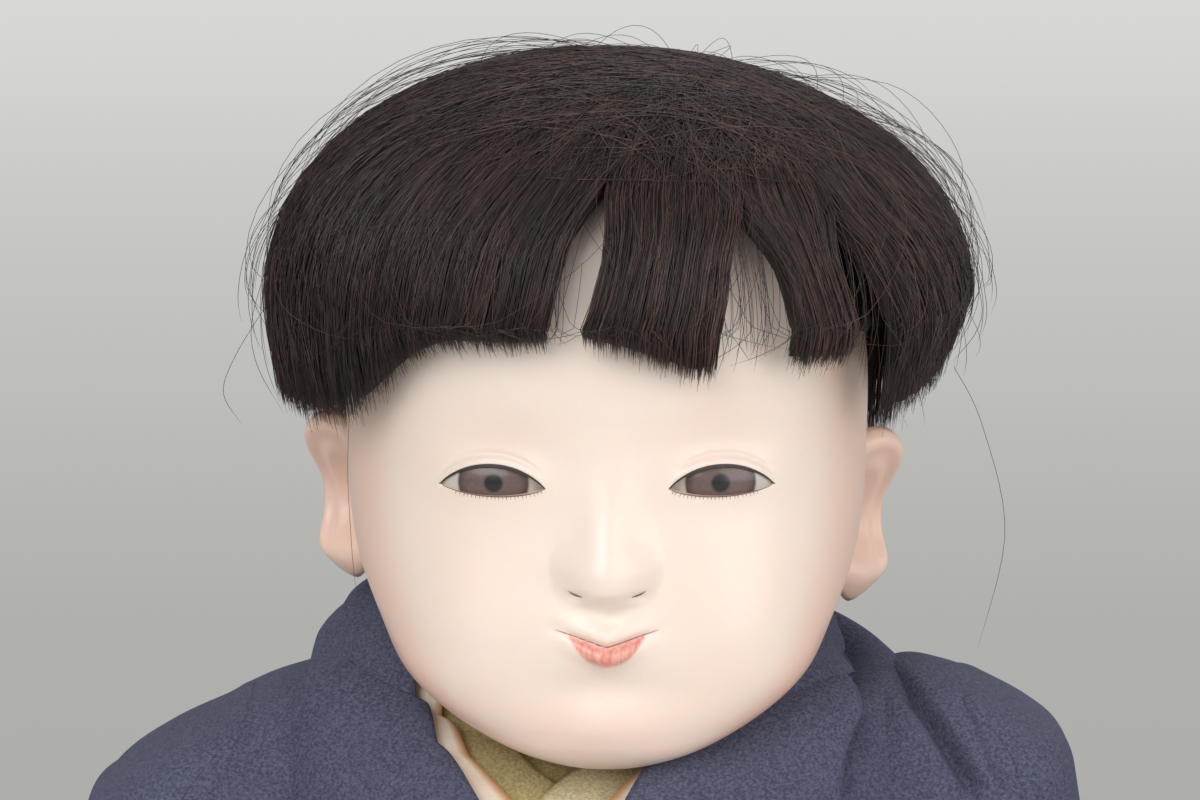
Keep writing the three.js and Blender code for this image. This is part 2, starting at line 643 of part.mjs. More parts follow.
/** The y of the front of the face at a place across and above the line of the eyes. */
function skinFront(x, rise) {
  const place = solve((at) => headSection(at).rise, rise, 0, HEAD_SECTIONS.length - 1);
  const angle = solve((turn) => headPoint(turn, place).x, x, 0, 90);
  return headPoint(angle, place).y;
}

const EYE_BAR = 30; // length of the bar that cuts an eye opening

/** The almond outline of an eye opening, as a bar along Y. */
function eyeOpening(side) {
  const outline = new THREE.Shape();
  const { halfWidth, halfHeight } = EYE;
  outline.moveTo(-halfWidth, 0);
  outline.quadraticCurveTo(0, 2 * halfHeight, halfWidth, 0);
  outline.quadraticCurveTo(0, -2 * halfHeight, -halfWidth, 0);
  const front = { depth: EYE_BAR, bevelEnabled: false, curveSegments: 7 };
  const bar = new THREE.ExtrudeGeometry(outline, front);
  bar.rotateZ(degToRad(EYE.tilt)).rotateX(Math.PI / 2);
  bar.translate(EYE.across, 2 - EYE_BAR, eyeHeight + EYE.rise);
  return mirrorX(bar, side);
}

function eyeGlass(side, growth) {
  const skin = -skinFront(EYE.across, EYE.rise);
  const { halfWidth, depth, halfHeight } = EYE_GLASS;
  const lens = ellipsoid(vec(0, 0, 0), halfWidth + growth, depth + growth, halfHeight + growth, 12, 8);
  lens.rotateZ(degToRad(EYE_GLASS.yaw));
  lens.translate(EYE.across, -skin + EYE_GLASS.sink + EYE_GLASS.depth, eyeHeight + EYE.rise);
  return mirrorX(lens, side);
}

const headOutside = solid(loft(headRings(34, 2, true)));
const headInside = solid(loft(headRings(16, 1, false).map((ring) => ring.map((point) => {
  const inward = point.clone().sub(headCentre);
  const length = inward.length();
  return headCentre.clone().addScaledVector(inward.normalize(), Math.max(length - HEAD_WALL, 4));
}))));
const neckTop = eyeHeight + NECK_TOP_RISE;
const neckBore = solid(upright(NECK_RADIUS + GAP, NECK_Y, 0, neckTop + GAP));
let wholeHead = headOutside.add(solid(earShape('left'))).add(solid(earShape('right')));
wholeHead = wholeHead.subtract(headInside).subtract(neckBore);
for (const side of ['left', 'right']) {
  wholeHead = wholeHead.subtract(solid(eyeGlass(side, GAP))).subtract(solid(eyeOpening(side)));
}
const far = 300;
const faceShell = wholeHead.intersect(solid(block(-far, far, -far, HEAD_SPLIT - GAP / 2, 0, 2 * far)));
const skullBack = wholeHead.intersect(solid(block(-far, far, HEAD_SPLIT + GAP / 2, far, 0, 2 * far)));

// Neck with its plug
const neckSeat = NECK_BASE.height - NECK_SEAT_DEPTH;
const neckProfile = [
  [0, neckSeat - PLUG_LENGTH],
  [PLUG_RADIUS, neckSeat - PLUG_LENGTH],
  [PLUG_RADIUS, neckSeat + RUNNING_GAP],
  [NECK_RADIUS, neckSeat + RUNNING_GAP],
  [NECK_RADIUS, neckTop],
  [0, neckTop],
].map(([radius, height]) => new THREE.Vector2(radius, height));
const neckPlug = new THREE.LatheGeometry(neckProfile, 28).rotateX(Math.PI / 2).translate(0, NECK_Y, 0);

// Wig
const widest = HEAD_SECTIONS.reduce((a, b) => (a.halfWidth > b.halfWidth ? a : b));
const crownRise = HEAD_SECTIONS.at(-1).rise + HAIR_OVER_CROWN;

/** The rise of the hair's cut edge at an angle. */
function hairEdge(angle) {
  const turn = ((angle + 540) % 360) - 180;
  const size = Math.abs(turn);
  const fringe = turn < 0 ? HAIR_CUT.fringeRight : HAIR_CUT.fringeLeft;
  const front = lerp(fringe, HAIR_CUT.temple, smoothstep(size, 25, 62));
  const behind = lerp(HAIR_CUT.overEar, HAIR_CUT.nape, smoothstep(size, 105, 140));
  return lerp(front, behind, smoothstep(size, 60, 80));
}

/** Outside of the hair: share runs from the crown to the cut edge. */
function hairOutside(angle, share) {
  const turn = degToRad(angle);
  const [sine, cosine] = [Math.sin(turn), Math.cos(turn)];
  const middle = lerp(widest.front, widest.back, SECTION_MIDDLE);
  const halfWidth = widest.halfWidth + HAIR_OVER_SIDES;
  const reach = cosine > 0
    ? middle - widest.front + HAIR_OVER_FRONT
    : widest.back - middle + HAIR_OVER_BACK;
  const out = ((Math.abs(sine) / halfWidth) ** HAIR_FULLNESS + (Math.abs(cosine) / reach) ** HAIR_FULLNESS)
    ** (-1 / HAIR_FULLNESS);
  const polar = Math.min(share / HAIR_DOME_SHARE, 1) * (Math.PI / 2);
  const round = 2 / HAIR_DOME_FULLNESS;
  const hang = clamp((share - HAIR_DOME_SHARE) / (1 - HAIR_DOME_SHARE), 0, 1);
  const radius = out * power(Math.sin(polar), round) * (1 - HAIR_TUCK * hang * hang);
  const domeRise = HAIR_WIDEST_RISE + (crownRise - HAIR_WIDEST_RISE) * power(Math.cos(polar), round);
  const rise = lerp(domeRise, hairEdge(angle), hang);
  const lean = HAIR_SHIFT * smoothstep(share, 0, HAIR_DOME_SHARE);
  return vec(lean + radius * sine, middle - radius * cosine, eyeHeight + rise);
}

function hairInside(angle, share) {
  const outside = hairOutside(angle, share);
  const toOutside = outside.clone().sub(headCentre);
  const length = toOutside.length();
  const direction = toOutside.normalize();
  const floor = headReach(direction) + HAIR_LAYER;
  return headCentre.clone().addScaledVector(direction, Math.max(floor, length - HAIR_DEPTH));
}

/** A lock of hair between two pairs of angles, each at the crown and at the cut edge. */
function hairLock([fromTop, fromCut], [toTop, toCut], columns) {
  const start = HAIR_DOME_SHARE * CROWN_SHARE + LOCK_PARTING;
  const place = (u, v) => {
    const share = lerp(start, 1, v);
    const open = smoothstep(share, 0.3, 1);
    return [lerp(lerp(fromTop, fromCut, open), lerp(toTop, toCut, open), u), share];
  };
  return slab((u, v) => hairOutside(...place(u, v)), (u, v) => hairInside(...place(u, v)), columns, 7);
}

const crownPlace = (u, v) => [360 * u, HAIR_DOME_SHARE * CROWN_SHARE * v];
const hairCrown = slab(
  (u, v) => hairOutside(...crownPlace(u, v)),
  (u, v) => hairInside(...crownPlace(u, v)),
  20, 2, true,
);
const capPlace = (u, v) => hairOutside(360 * u, CAP_END * v);
const wigCap = slab(
  (u, v) => aboveHead(capPlace(u, v), WIG_CAP_LAYER + WIG_CAP_THICKNESS),
  (u, v) => aboveHead(capPlace(u, v), WIG_CAP_LAYER),
  24, 7, true,
);

// Torso
function torsoRing(level) {
  const sides = 360 / ANGLE_STEP;
  return Array.from({ length: sides }, (_, s) => drape(ANGLE_STEP * s, level, -BODY_EASE));
}
const torsoLoft = (levels) => solid(loft(levels.map(torsoRing)));
const seatBlock = solid(block(-ARM_SEAT, ARM_SEAT, -far, far, 0, 2 * far));
const plugBottom = neckSeat - PLUG_LENGTH;
const plugBore = solid(upright(PLUG_RADIUS + GAP, NECK_Y, plugBottom - GAP, COLLAR_TOP.height));
const plateBottom = levelAt(CHEST.height - 18);
const neckSocket = solid(upright(NECK_RADIUS + GAP, NECK_Y, neckSeat, neckTop));
const shoulderPlate = torsoLoft([1, 1.5, 2, 2.4, 3, 3.5, plateBottom])
  .intersect(seatBlock).subtract(plugBore).subtract(neckSocket);
const hipTop = levelAt(HIP.height + 42);
const hipBottom = levelAt(HIP_PIVOT - 3);
const waistCloth = torsoLoft([0.01, 0.35, 0.65, 0.99].map((t) => lerp(plateBottom, hipTop, t)));
let hipBlock = torsoLoft([0, 0.5, 1].map((t) => lerp(hipTop, hipBottom, t)));

// Legs
function legPieces(side) {
  const x = (side === 'left' ? 1 : -1) * LEG_SPREAD;
  const hipBall = ball(vec(x, 0, HIP_PIVOT), THIGH_RADIUS, 14, 8);
  const thighHeights = [HIP_PIVOT, HIP_PIVOT - 20, lerp(HIP_PIVOT, KNEE, 0.6), KNEE + 5, KNEE + GAP / 2];
  const thighRadii = [
    THIGH_RADIUS * 0.94, THIGH_RADIUS, THIGH_RADIUS * 0.98, KNEE_RADIUS, KNEE_RADIUS * 0.85,
  ];
  const thigh = joined([hipBall, limb(thighHeights.map((z) => vec(x, 0, z)), thighRadii, 14)]);
  const groove = KNEE - 7;
  const ankleHeight = FOOT.height + 6;
  const calfHeight = lerp(KNEE, ankleHeight, 0.4);
  const shinHeights = [KNEE - GAP / 2, KNEE - 4, groove, KNEE - 11, calfHeight, ankleHeight, 6];
  const shinRadii = [
    KNEE_RADIUS * 0.85, KNEE_RADIUS * 0.92, KNEE_RADIUS - 2 * BINDING_WIRE, KNEE_RADIUS * 0.92,
    CALF_RADIUS, ANKLE_RADIUS, ANKLE_RADIUS,
  ];
  const shin = limb(shinHeights.map((z) => vec(x, 0, z)), shinRadii, 12);
  const middle = FOOT.heel - FOOT.length * 0.44;
  const heel = ellipsoid(vec(x, FOOT.heel - 10, 6), 9.4, 10, 11);
  const instepAt = vec(x, middle, 4.5);
  const instep = ellipsoid(instepAt, FOOT.halfWidth * 0.95, FOOT.length * 0.4, FOOT.height * 0.72);
  const ballOfFoot = ellipsoid(vec(x, FOOT.heel - FOOT.length * 0.76, 3), FOOT.halfWidth, 10, 7.4);
  const toes = [];
  for (let toe = 0; toe < 5; toe += 1) {
    const outward = (side === 'left' ? 1 : -1) * (toe - 2) * TOE_RADIUS * 1.22;
    const shorter = toe === 0 ? 0 : 1.1 * toe;
    const size = toe === 0 ? TOE_RADIUS * 1.15 : TOE_RADIUS * (1 - 0.05 * toe);
    const tip = FOOT.heel - FOOT.length + size + shorter;
    toes.push(finger(vec(x + outward, tip + 8, size), vec(x + outward, tip, size * 0.9), size));
  }
  const floorCut = solid(block(x - far, x + far, -far, far, -far, 0));
  const lowerLeg = joined([shin, heel, instep, ballOfFoot, ...toes]).subtract(floorCut);
  const bandRadius = KNEE_RADIUS - 2 * BINDING_WIRE + GAP + BINDING_WIRE;
  const binding = new THREE.TorusGeometry(bandRadius, BINDING_WIRE, 4, 16).translate(x, 0, groove);
  const seat = solid(ball(vec(x, 0, HIP_PIVOT), THIGH_RADIUS + RUNNING_GAP, 14, 8));
  return { thigh, lowerLeg, binding, seat };
}
const legs = { left: legPieces('left'), right: legPieces('right') };
hipBlock = hipBlock.subtract(legs.left.seat).subtract(legs.right.seat);

// Arms and sleeves: all of them lie outside the armhole plane, so they swing past the body
const armholePlane = GAP + Math.max(
  ARM_TOP.halfWidth + OUTER_PANEL_LAYER + CLOTH,
  CHEST.halfWidth + OUTER_PANEL_LAYER + CLOTH,
  WAIST.halfWidth + SASH_LAYER + SASH_THICKNESS,
  HIP.halfWidth + OUTER_PANEL_LAYER + CLOTH,
  SHOULDER.halfWidth + KIMONO_COLLAR_LAYER + KIMONO_COLLAR_THICKNESS,
);
const elbowHeight = SHOULDER_PIVOT.height - UPPER_ARM_DROP;
const spreadAt = (drop) => ARM_SPREAD * smoothstep(drop, SPREAD_FROM, SPREAD_TO);
const armX = (drop) => armholePlane + CLOTH + GAP + ARM_RADIUS + ARM_EASE + 0.7 * spreadAt(drop);
function armPieces(side) {
  const { y, height } = SHOULDER_PIVOT;
  const armAt = (z) => vec(armX(SLEEVE_TOP - z), y, z);
  const elbow = armAt(elbowHeight);
  const path = [
    vec(ARM_SEAT - 6, y, height),
    vec(ARM_SEAT + 7, y, height),
    vec(armholePlane + CLOTH + 3, y, height - 1),
    armAt(height - 8),
    armAt(height - 20),
    armAt(elbowHeight + 20),
    armAt(elbowHeight + 5),
  ];
  const radii = [0.9, 0.92, 0.96, 1, 1.03, 1, 0.98].map((share) => share * ARM_RADIUS);
  const outsideSeat = solid(block(ARM_SEAT + GAP, far, -far, far, 0, 2 * far));
  const elbowSeat = solid(ball(elbow, ELBOW_RADIUS + RUNNING_GAP, 12, 8));
  const upperArm = solid(limb(path, radii, 12)).intersect(outsideSeat).subtract(elbowSeat);

  const groove = -11;
  const shaftHeights = [-3, -7, groove, -15, -FOREARM_LENGTH * 0.55, -FOREARM_LENGTH, -FOREARM_LENGTH - 4];
  const shaftRadii = [0.9, 0.86, 0.86, 1, 1.04, 0.74, 0.66].map((share) => share * ELBOW_RADIUS);
  shaftRadii[2] -= BINDING_WIRE;
  const shaft = limb(shaftHeights.map((z) => vec(0, 0, z)), shaftRadii, 12);
  const palmHeight = -FOREARM_LENGTH - PALM.halfLength * 0.8;
  const palm = ellipsoid(vec(0, 0, palmHeight), PALM.halfThickness, PALM.halfWidth, PALM.halfLength, 12, 8);
  const fingers = [];
  for (let i = 0; i < 4; i += 1) {
    const across = (i - 1.5) * FINGER_RADIUS * 1.75;
    const root = vec(-0.4, across * 0.95, palmHeight - PALM.halfLength * 0.55);
    const length = FINGER_LENGTH * (1 - 0.12 * Math.abs(i - 1.2));
    const tip = root.clone().add(vec(-2.4, across * 0.12, -length));
    fingers.push(finger(root, tip, FINGER_RADIUS));
  }
  const thumbRoot = vec(-1, -PALM.halfWidth * 0.6, palmHeight + 2);
  fingers.push(finger(thumbRoot, thumbRoot.clone().add(vec(-2.2, -5, -10.5)), FINGER_RADIUS * 1.12));
  const elbowBall = ball(vec(0, 0, 0), ELBOW_RADIUS, 12, 8);
  const posed = (geometry) => geometry.rotateX(degToRad(-ELBOW_BEND)).translate(elbow.x, elbow.y, elbow.z);
  const forearm = posed(geometryOf(joined([elbowBall, shaft, palm, ...fingers])));
  const bandRadius = shaftRadii[2] + GAP + BINDING_WIRE;
  const binding = posed(new THREE.TorusGeometry(bandRadius, BINDING_WIRE, 4, 14).translate(0, 0, groove));
  return {
    upperArm: mirrorX(geometryOf(upperArm), side),
    forearm: mirrorX(forearm, side),
    binding: mirrorX(binding, side),
  };
}

/** The sleeve bag, or the hollow inside it when inset is the cloth's thickness. */
function sleeveBag(inset) {
  const sides = 14;
  const count = SLEEVE_SECTIONS.length - 1;
  const depth = SLEEVE_SECTIONS[count].drop;
  const rings = [];
  for (let r = 0; r <= count; r += 1) {
    const at = SLEEVE_SECTIONS[r];
    const half = (at.reach + spreadAt(at.drop)) / 2 - inset;
    const drop = clamp(at.drop, inset, depth - inset);
    const ring = [];
    for (let s = 0; s < sides; s += 1) {
      const turn = (2 * Math.PI * s) / sides;
      const fold = 0.05 * smoothstep(at.drop, 40, depth) * Math.cos(5 * turn);
      const x = armholePlane + inset + half * (1 - power(Math.cos(turn), 2 / SLEEVE_FULLNESS));
      const depthHere = at.halfDepth * (1 + fold) - inset;
      const y = at.centre + depthHere * power(Math.sin(turn), 2 / SLEEVE_FULLNESS);
      ring.push(vec(x, y, SLEEVE_TOP - drop));
    }
    rings.push(ring);
  }
  return loft(rings);
}

function sleeve(side) {
  const { y, height } = SHOULDER_PIVOT;
  const armhole = crossBar(ARM_RADIUS + SLEEVE_ROOM, y, height, armholePlane - 5, armholePlane + 9);
  const front = along(SLEEVE_SECTIONS, 6);
  const cuff = block(
    armholePlane + CLOTH, armholePlane + far,
    front.centre - front.halfDepth - far, front.centre - front.halfDepth + CUFF.depth,
    SLEEVE_TOP - CUFF.bottom, SLEEVE_TOP - CUFF.top,
  );
  const cuffInside = solid(sleeveBag(0)).intersect(solid(cuff));
  const bag = solid(sleeveBag(0)).subtract(solid(sleeveBag(CLOTH))).subtract(solid(armhole));
  return mirrorX(geometryOf(bag.subtract(cuffInside)), side);
}

// Clothes
const armholes = ['left', 'right'].map((side) => {
  const { y, height } = SHOULDER_PIVOT;
  const bar = crossBar(ARM_RADIUS + ARMHOLE_ROOM, y, height, ARM_SEAT - 20, far);
  return solid(mirrorX(bar, side));
}).reduce((a, b) => a.add(b));
const seamAngle = 0.5;
const withArmholes = (geometry) => geometryOf(solid(geometry).subtract(armholes));
const lift = OUTER_PANEL_LAYER - INNER_PANEL_LAYER;
const kimonoRight = withArmholes(kimonoPanel('right', -180 + seamAngle, -OVERLAP_SEAM, 0));
const overlapRight = kimonoPanel('right', -OVERLAP_SEAM + seamAngle, OVERLAP_SEAM, 0);
const kimonoLeft = withArmholes(kimonoPanel('left', 180 - seamAngle, OVERLAP_SEAM, lift));
const overlapLeft = kimonoPanel('left', OVERLAP_SEAM - seamAngle, -2 * OVERLAP_SEAM, lift);
const underHem = levelAt(HEM_LIFT + 8);
const underAngles = columnAngles(3, 357);
const underPlace = (u, v) => {
  const angle = underAngles[Math.round(u * (underAngles.length - 1))];
  const top = lerp(1.3, 2.6, smoothstep(Math.cos(degToRad(angle)), -0.2, 0.9));
  return [angle, rowLevel(top, underHem, v)];
};
const underKimono = withArmholes(layer(
  underPlace, UNDER_KIMONO_LAYER, THIN_CLOTH, underAngles.length - 1, CLOTH_ROWS,
));
const sashColumns = 360 / ANGLE_STEP;
const sashRows = [sashLevels[0], LEVEL.waist, sashLevels[1]];
const sashPlace = (u, v) => [360 * u, sashRows[Math.round(2 * v)]];
const sashBand = layer(sashPlace, SASH_LAYER, SASH_THICKNESS, sashColumns, 2, true);

// Flat sash knot at the back: two folded ends and the turn that binds them
function folded(outline, nearest, thickness) {
  const shape = new THREE.Shape(outline.map(([x, z]) => new THREE.Vector2(x, z)));
  const plate = new THREE.ExtrudeGeometry(shape, { depth: thickness, bevelEnabled: false });
  return plate.rotateX(Math.PI / 2).translate(0, nearest + thickness, (SASH_TOP + SASH_BOTTOM) / 2);
}
const sashOutside = (level) => drape(180, level, SASH_LAYER + SASH_THICKNESS).y;
const sashBack = GAP + Math.max(...sashLevels.map(sashOutside));
const foldStep = SASH_FOLD + GAP;
const sashEndLower = folded([[-34, -15], [30, -11], [30, 11], [-34, 15]], sashBack, SASH_FOLD);
const sashEndUpper = folded([[-14, -12], [12, -14], [34, 26], [14, 34]], sashBack + foldStep, SASH_FOLD);
const sashKnot = folded([[-15, -20], [4, -22], [16, 18], [-3, 20]], sashBack + 2 * foldStep, SASH_FOLD);

// Assembly
const doll = new THREE.Group();
doll.name = 'ichimatsu_doll';
function place(name, shape, material) {
  const geometry = geometryOf(shape instanceof THREE.BufferGeometry ? solid(shape) : shape);
  geometry.computeVertexNormals();
  const mesh = new THREE.Mesh(geometry, material);
  mesh.name = name;
  doll.add(mesh);
}

place('face_shell', faceShell, lacquer);
place('skull_back', skullBack, lacquer);
place('neck_plug', neckPlug, lacquer);
place('wig_cap', wigCap, capCloth);
place('hair_crown', hairCrown, hair);
place('hair_fringe_right', hairLock([-55, -55], [-6.4, -10.5], 6), hair);
place('hair_fringe_middle', hairLock([-5.6, -4.6], [25, 20.7], 5), hair);
place('hair_fringe_left', hairLock([25.8, 31], [49.6, 48], 4), hair);
place('hair_left', hairLock([50.4, 54], [124.6, 124.6], 7), hair);
place('hair_right', hairLock([-124.6, -124.6], [-55.8, -55.8], 7), hair);
place('hair_back', hairLock([125.4, 125.4], [234.6, 234.6], 10), hair);
place('shoulder_plate', shoulderPlate, lacquer);
place('waist_cloth', waistCloth, muslin);
place('hip_block', hipBlock, lacquer);
for (const side of ['left', 'right']) {
  const arm = armPieces(side);
  const leg = legs[side];
  place(`${side}_eye`, eyeGlass(side, 0), glass);
  place(`upper_arm_${side}`, arm.upperArm, muslin);
  place(`forearm_${side}`, arm.forearm, lacquer);
  place(`arm_binding_${side}`, arm.binding, thread);
  place(`sleeve_${side}`, sleeve(side), navyCrepe);
  place(`thigh_${side}`, leg.thigh, muslin);
  place(`lower_leg_${side}`, leg.lowerLeg, lacquer);
  place(`leg_binding_${side}`, leg.binding, thread);
  const innerCollar = (shows, layers) => {
    const end = side === 'left' ? LEFT_INNER_END : 1;
    return collarHalf(side, -shows, INNER_COLLAR_END, layers, THIN_CLOTH, COLLAR_STEP, 3, end);
  };
  const underLayers = { front: UNDER_COLLAR_LAYER, nape: UNDER_COLLAR_LAYER };
  const creamLayers = { front: CREAM_COLLAR_LAYER, nape: CREAM_NAPE_LAYER };
  const bandLayers = { front: KIMONO_COLLAR_LAYER, nape: KIMONO_NAPE_LAYER, edge: BAND_SEAT_LAYER };
  const band = collarHalf(side, 0, 1, bandLayers, KIMONO_COLLAR_THICKNESS, KIMONO_COLLAR_STEP, 4);
  place(`under_collar_${side}`, innerCollar(UNDER_SHOWS, underLayers), greenCrepe);
  place(`cream_collar_${side}`, innerCollar(CREAM_SHOWS, creamLayers), creamSilk);
  place(`kimono_collar_${side}`, band, navyCrepe);
}
place('under_kimono', underKimono, greenCrepe);
place('kimono_right', kimonoRight, navyCrepe);
place('overlap_right', overlapRight, navyCrepe);
place('kimono_left', kimonoLeft, navyCrepe);
place('overlap_left', overlapLeft, navyCrepe);
place('sash_band', sashBand, sashCloth);
place('sash_end_lower', sashEndLower, sashCloth);
place('sash_end_upper', sashEndUpper, sashCloth);
place('sash_knot', sashKnot, sashCloth);

export default doll;
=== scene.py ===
"""Dresses the ichimatsu doll's solids: lacquered skin, glass eyes, hair, layered crepe and cloth limbs."""
import math

import bpy
import numpy as np
from bpy.props import FloatProperty, FloatVectorProperty, IntProperty, PointerProperty
from bpy.types import Operator, Panel, PropertyGroup
from mathutils import Matrix, Vector


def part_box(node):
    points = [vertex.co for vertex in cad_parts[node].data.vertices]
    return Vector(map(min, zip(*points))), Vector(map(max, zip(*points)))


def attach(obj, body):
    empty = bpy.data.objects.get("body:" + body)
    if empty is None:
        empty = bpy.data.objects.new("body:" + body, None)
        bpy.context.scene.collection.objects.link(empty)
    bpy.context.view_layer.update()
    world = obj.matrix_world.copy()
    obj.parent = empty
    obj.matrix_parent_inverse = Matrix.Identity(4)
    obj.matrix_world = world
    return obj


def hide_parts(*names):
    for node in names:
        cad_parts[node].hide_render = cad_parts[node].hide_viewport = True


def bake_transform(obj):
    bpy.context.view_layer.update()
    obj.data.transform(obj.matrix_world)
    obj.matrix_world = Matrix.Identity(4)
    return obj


bl_info = {
    "name": "Ichimatsu doll",
    "version": (1, 0, 0),
    "blender": (4, 5, 0),
    "location": "View3D > Sidebar > Doll",
    "description": "Builds the visible skin, hair and clothes of a jointed doll round its solids",
    "category": "Object",
}

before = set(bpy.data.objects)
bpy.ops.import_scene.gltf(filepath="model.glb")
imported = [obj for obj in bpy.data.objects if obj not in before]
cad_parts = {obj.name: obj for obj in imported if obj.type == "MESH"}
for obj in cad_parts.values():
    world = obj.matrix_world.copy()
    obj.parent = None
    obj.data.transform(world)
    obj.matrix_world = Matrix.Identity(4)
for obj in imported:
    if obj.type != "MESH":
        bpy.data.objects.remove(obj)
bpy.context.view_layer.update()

MM = 0.001
SIDES = (("left", 1.0), ("right", -1.0))


# Settings

def colour_setting(name, description, default):
    return FloatVectorProperty(name=name, description=description, default=default, size=3,
                               subtype="COLOR", min=0.0, max=1.0)


class SkinSettings(PropertyGroup):
    """Colours of the lacquered head, hands and feet."""
    lacquer: colour_setting("Lacquer", "White shell lacquer", (0.94, 0.80, 0.70))
    blush: colour_setting("Blush", "Pink towards the edges of the face", (0.90, 0.57, 0.43))
    lip: colour_setting("Lip", "Painted lower lip", (0.76, 0.24, 0.20))
    # The ink also paints the nostrils dark, as painted shade.
    ink_and_nostril_shade: colour_setting("Ink", "Painted lashes and lid lines", (0.03, 0.02, 0.018))
    iris: colour_setting("Iris", "Brown of the glass eyes", (0.125, 0.082, 0.072))
    roughness: FloatProperty(name="Roughness", description="Of the satin lacquer", default=0.34,
                             min=0.0, max=1.0, subtype="FACTOR")


class HairSettings(PropertyGroup):
    """Strands of the wig."""
    colour: colour_setting("Hair", "Dark brown-black hair", (0.022, 0.0145, 0.0125))
    strands: IntProperty(name="Strands", description="Strands in the whole wig", default=15000, min=500)
    thickness: FloatProperty(name="Thickness", description="Radius of a strand", default=0.085 * MM,
                             subtype="DISTANCE", unit="LENGTH")


class ClothSettings(PropertyGroup):
    """Colours of the clothes."""
    navy: colour_setting("Kimono", "Navy crepe", (0.106, 0.112, 0.172))
    cream: colour_setting("Inner collar", "Cream silk", (0.90, 0.80, 0.66))
    tan: colour_setting("Collar edge", "Tan fold of the inner collar", (0.55, 0.29, 0.11))
    green: colour_setting("Under-kimono", "Yellow-green crepe", (0.56, 0.46, 0.22))
    ribbed: colour_setting("Under-collar", "Paler ribbed crepe that crosses at the throat",
                           (0.70, 0.61, 0.37))
    sash: colour_setting("Sash", "Brown woven sash", (0.20, 0.11, 0.05))
    muslin: colour_setting("Muslin", "Unbleached cotton of the stuffed limbs", (0.70, 0.62, 0.46))
    grain: FloatProperty(name="Crepe grain", description="Size of the crepe's grain", default=0.62 * MM,
                         subtype="DISTANCE", unit="LENGTH")


class StageSettings(PropertyGroup):
    """Floor, light and camera."""
    floor: colour_setting("Floor", "Pale floor and backdrop", (0.60, 0.60, 0.58))
    lens: FloatProperty(name="Lens", description="Focal length of the camera", default=168.0, unit="CAMERA")
    pitch: FloatProperty(name="Pitch", description="How far the camera looks down",
                         default=math.radians(9.5), subtype="ANGLE", unit="ROTATION")


# Number helpers

def smooth(value, low, high):
    """Eases from 0 at low to 1 at high."""
    t = np.clip((np.asarray(value, float) - low) / (high - low), 0.0, 1.0)
    return t * t * (3.0 - 2.0 * t)


def power(value, exponent):
    """A power that keeps the sign."""
    return np.sign(value) * np.abs(value) ** exponent


def bell(distance, width):
    """A bell curve: 1 at no distance."""
    return np.exp(-(np.asarray(distance) / width) ** 2)


def lerp(a, b, t):
    return a + (b - a) * t


def along(table, at):
    """Runs smoothly through the rows of a table, where at holds places such as 2.5."""
    last = len(table) - 1
    at = np.asarray(at, float)
    i = np.clip(np.floor(at).astype(int), 0, last - 1)
    t = (at - i)[..., None]
    p0, p1 = table[np.maximum(i - 1, 0)], table[i]
    p2, p3 = table[i + 1], table[np.minimum(i + 2, last)]
    bend = 2 * p0 - 5 * p1 + 4 * p2 - p3
    return p1 + 0.5 * t * (p2 - p0 + t * (bend + t * (3 * (p1 - p2) + p3 - p0)))


# Mesh helpers. Points are in millimetres and become metres here.

def grid_faces(rows, columns, wraps=False):
    """Quads between the points of a grid, counted row by row."""
    r, c = np.meshgrid(np.arange(rows - 1), np.arange(columns if wraps else columns - 1), indexing="ij")
    n = (c + 1) % columns
    here, next_row = r * columns, (r + 1) * columns
    return np.stack([here + c, here + n, next_row + n, next_row + c], -1).reshape(-1, 4)


def make_mesh(name, points, faces):
    """A smooth mesh from points and faces that all have the same number of corners."""
    points = np.asarray(points, float).reshape(-1, 3)
    faces = np.asarray(faces, np.int32)
    mesh = bpy.data.meshes.new(name)
    mesh.vertices.add(len(points))
    mesh.vertices.foreach_set("co", (points * MM).astype(np.float32).ravel())
    mesh.loops.add(faces.size)
    mesh.loops.foreach_set("vertex_index", faces.ravel())
    mesh.polygons.add(len(faces))
    mesh.polygons.foreach_set("loop_start", np.arange(0, faces.size, faces.shape[1], dtype=np.int32))
    mesh.update(calc_edges=True)
    mesh.validate()
    mesh.shade_smooth()
    return mesh


def signed_volume(points, faces):
    """Six times the volume inside, below 0 where the faces look inward."""
    a, b, c = points[faces[:, 0]], points[faces[:, 1]], points[faces[:, 2]]
    volume = np.einsum("ij,ij->", a, np.cross(b, c))
    if faces.shape[1] == 4:
        volume += np.einsum("ij,ij->", a, np.cross(c, points[faces[:, 3]]))
    return volume


def make_piece(name, points, faces, material, body, slot, closed=True):
    """A piece of the doll that moves with a body."""
    points = np.asarray(points, float).reshape(-1, 3)
    if closed and signed_volume(points, faces) < 0:
        faces = faces[:, ::-1]
    return add_piece(name, make_mesh(name, points, faces), material, body)


def add_piece(name, mesh, material, body):
    """An object for a mesh, which rides on a body if one is given."""
    piece = bpy.data.objects.new(name, mesh)
    bpy.context.scene.collection.objects.link(piece)
    mesh.materials.clear()
    mesh.materials.append(material)
    if body:
        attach(piece, body)
    return piece


def sheet_grid(outer, inner, wraps=False):
    """Points and quads of a closed sheet between two grids of the same shape."""
    rows, columns = outer.shape[:2]
    points = np.concatenate([outer.reshape(-1, 3), inner.reshape(-1, 3)])
    half = rows * columns
    quads = grid_faces(rows, columns, wraps)
    faces = [quads, quads[:, ::-1] + half]
    index = np.arange(half).reshape(rows, columns)
    first, last = index[0], index[-1]
    if wraps:
        edges = [np.append(first, first[0])[::-1], np.append(last, last[0])]
    else:
        edges = [first[::-1], last, index[:, 0], index[::-1, -1]]
    for edge in edges:
        a, b = edge[:-1], edge[1:]
        faces.append(np.stack([a, b, b + half, a + half], -1))
    return points, np.concatenate(faces)


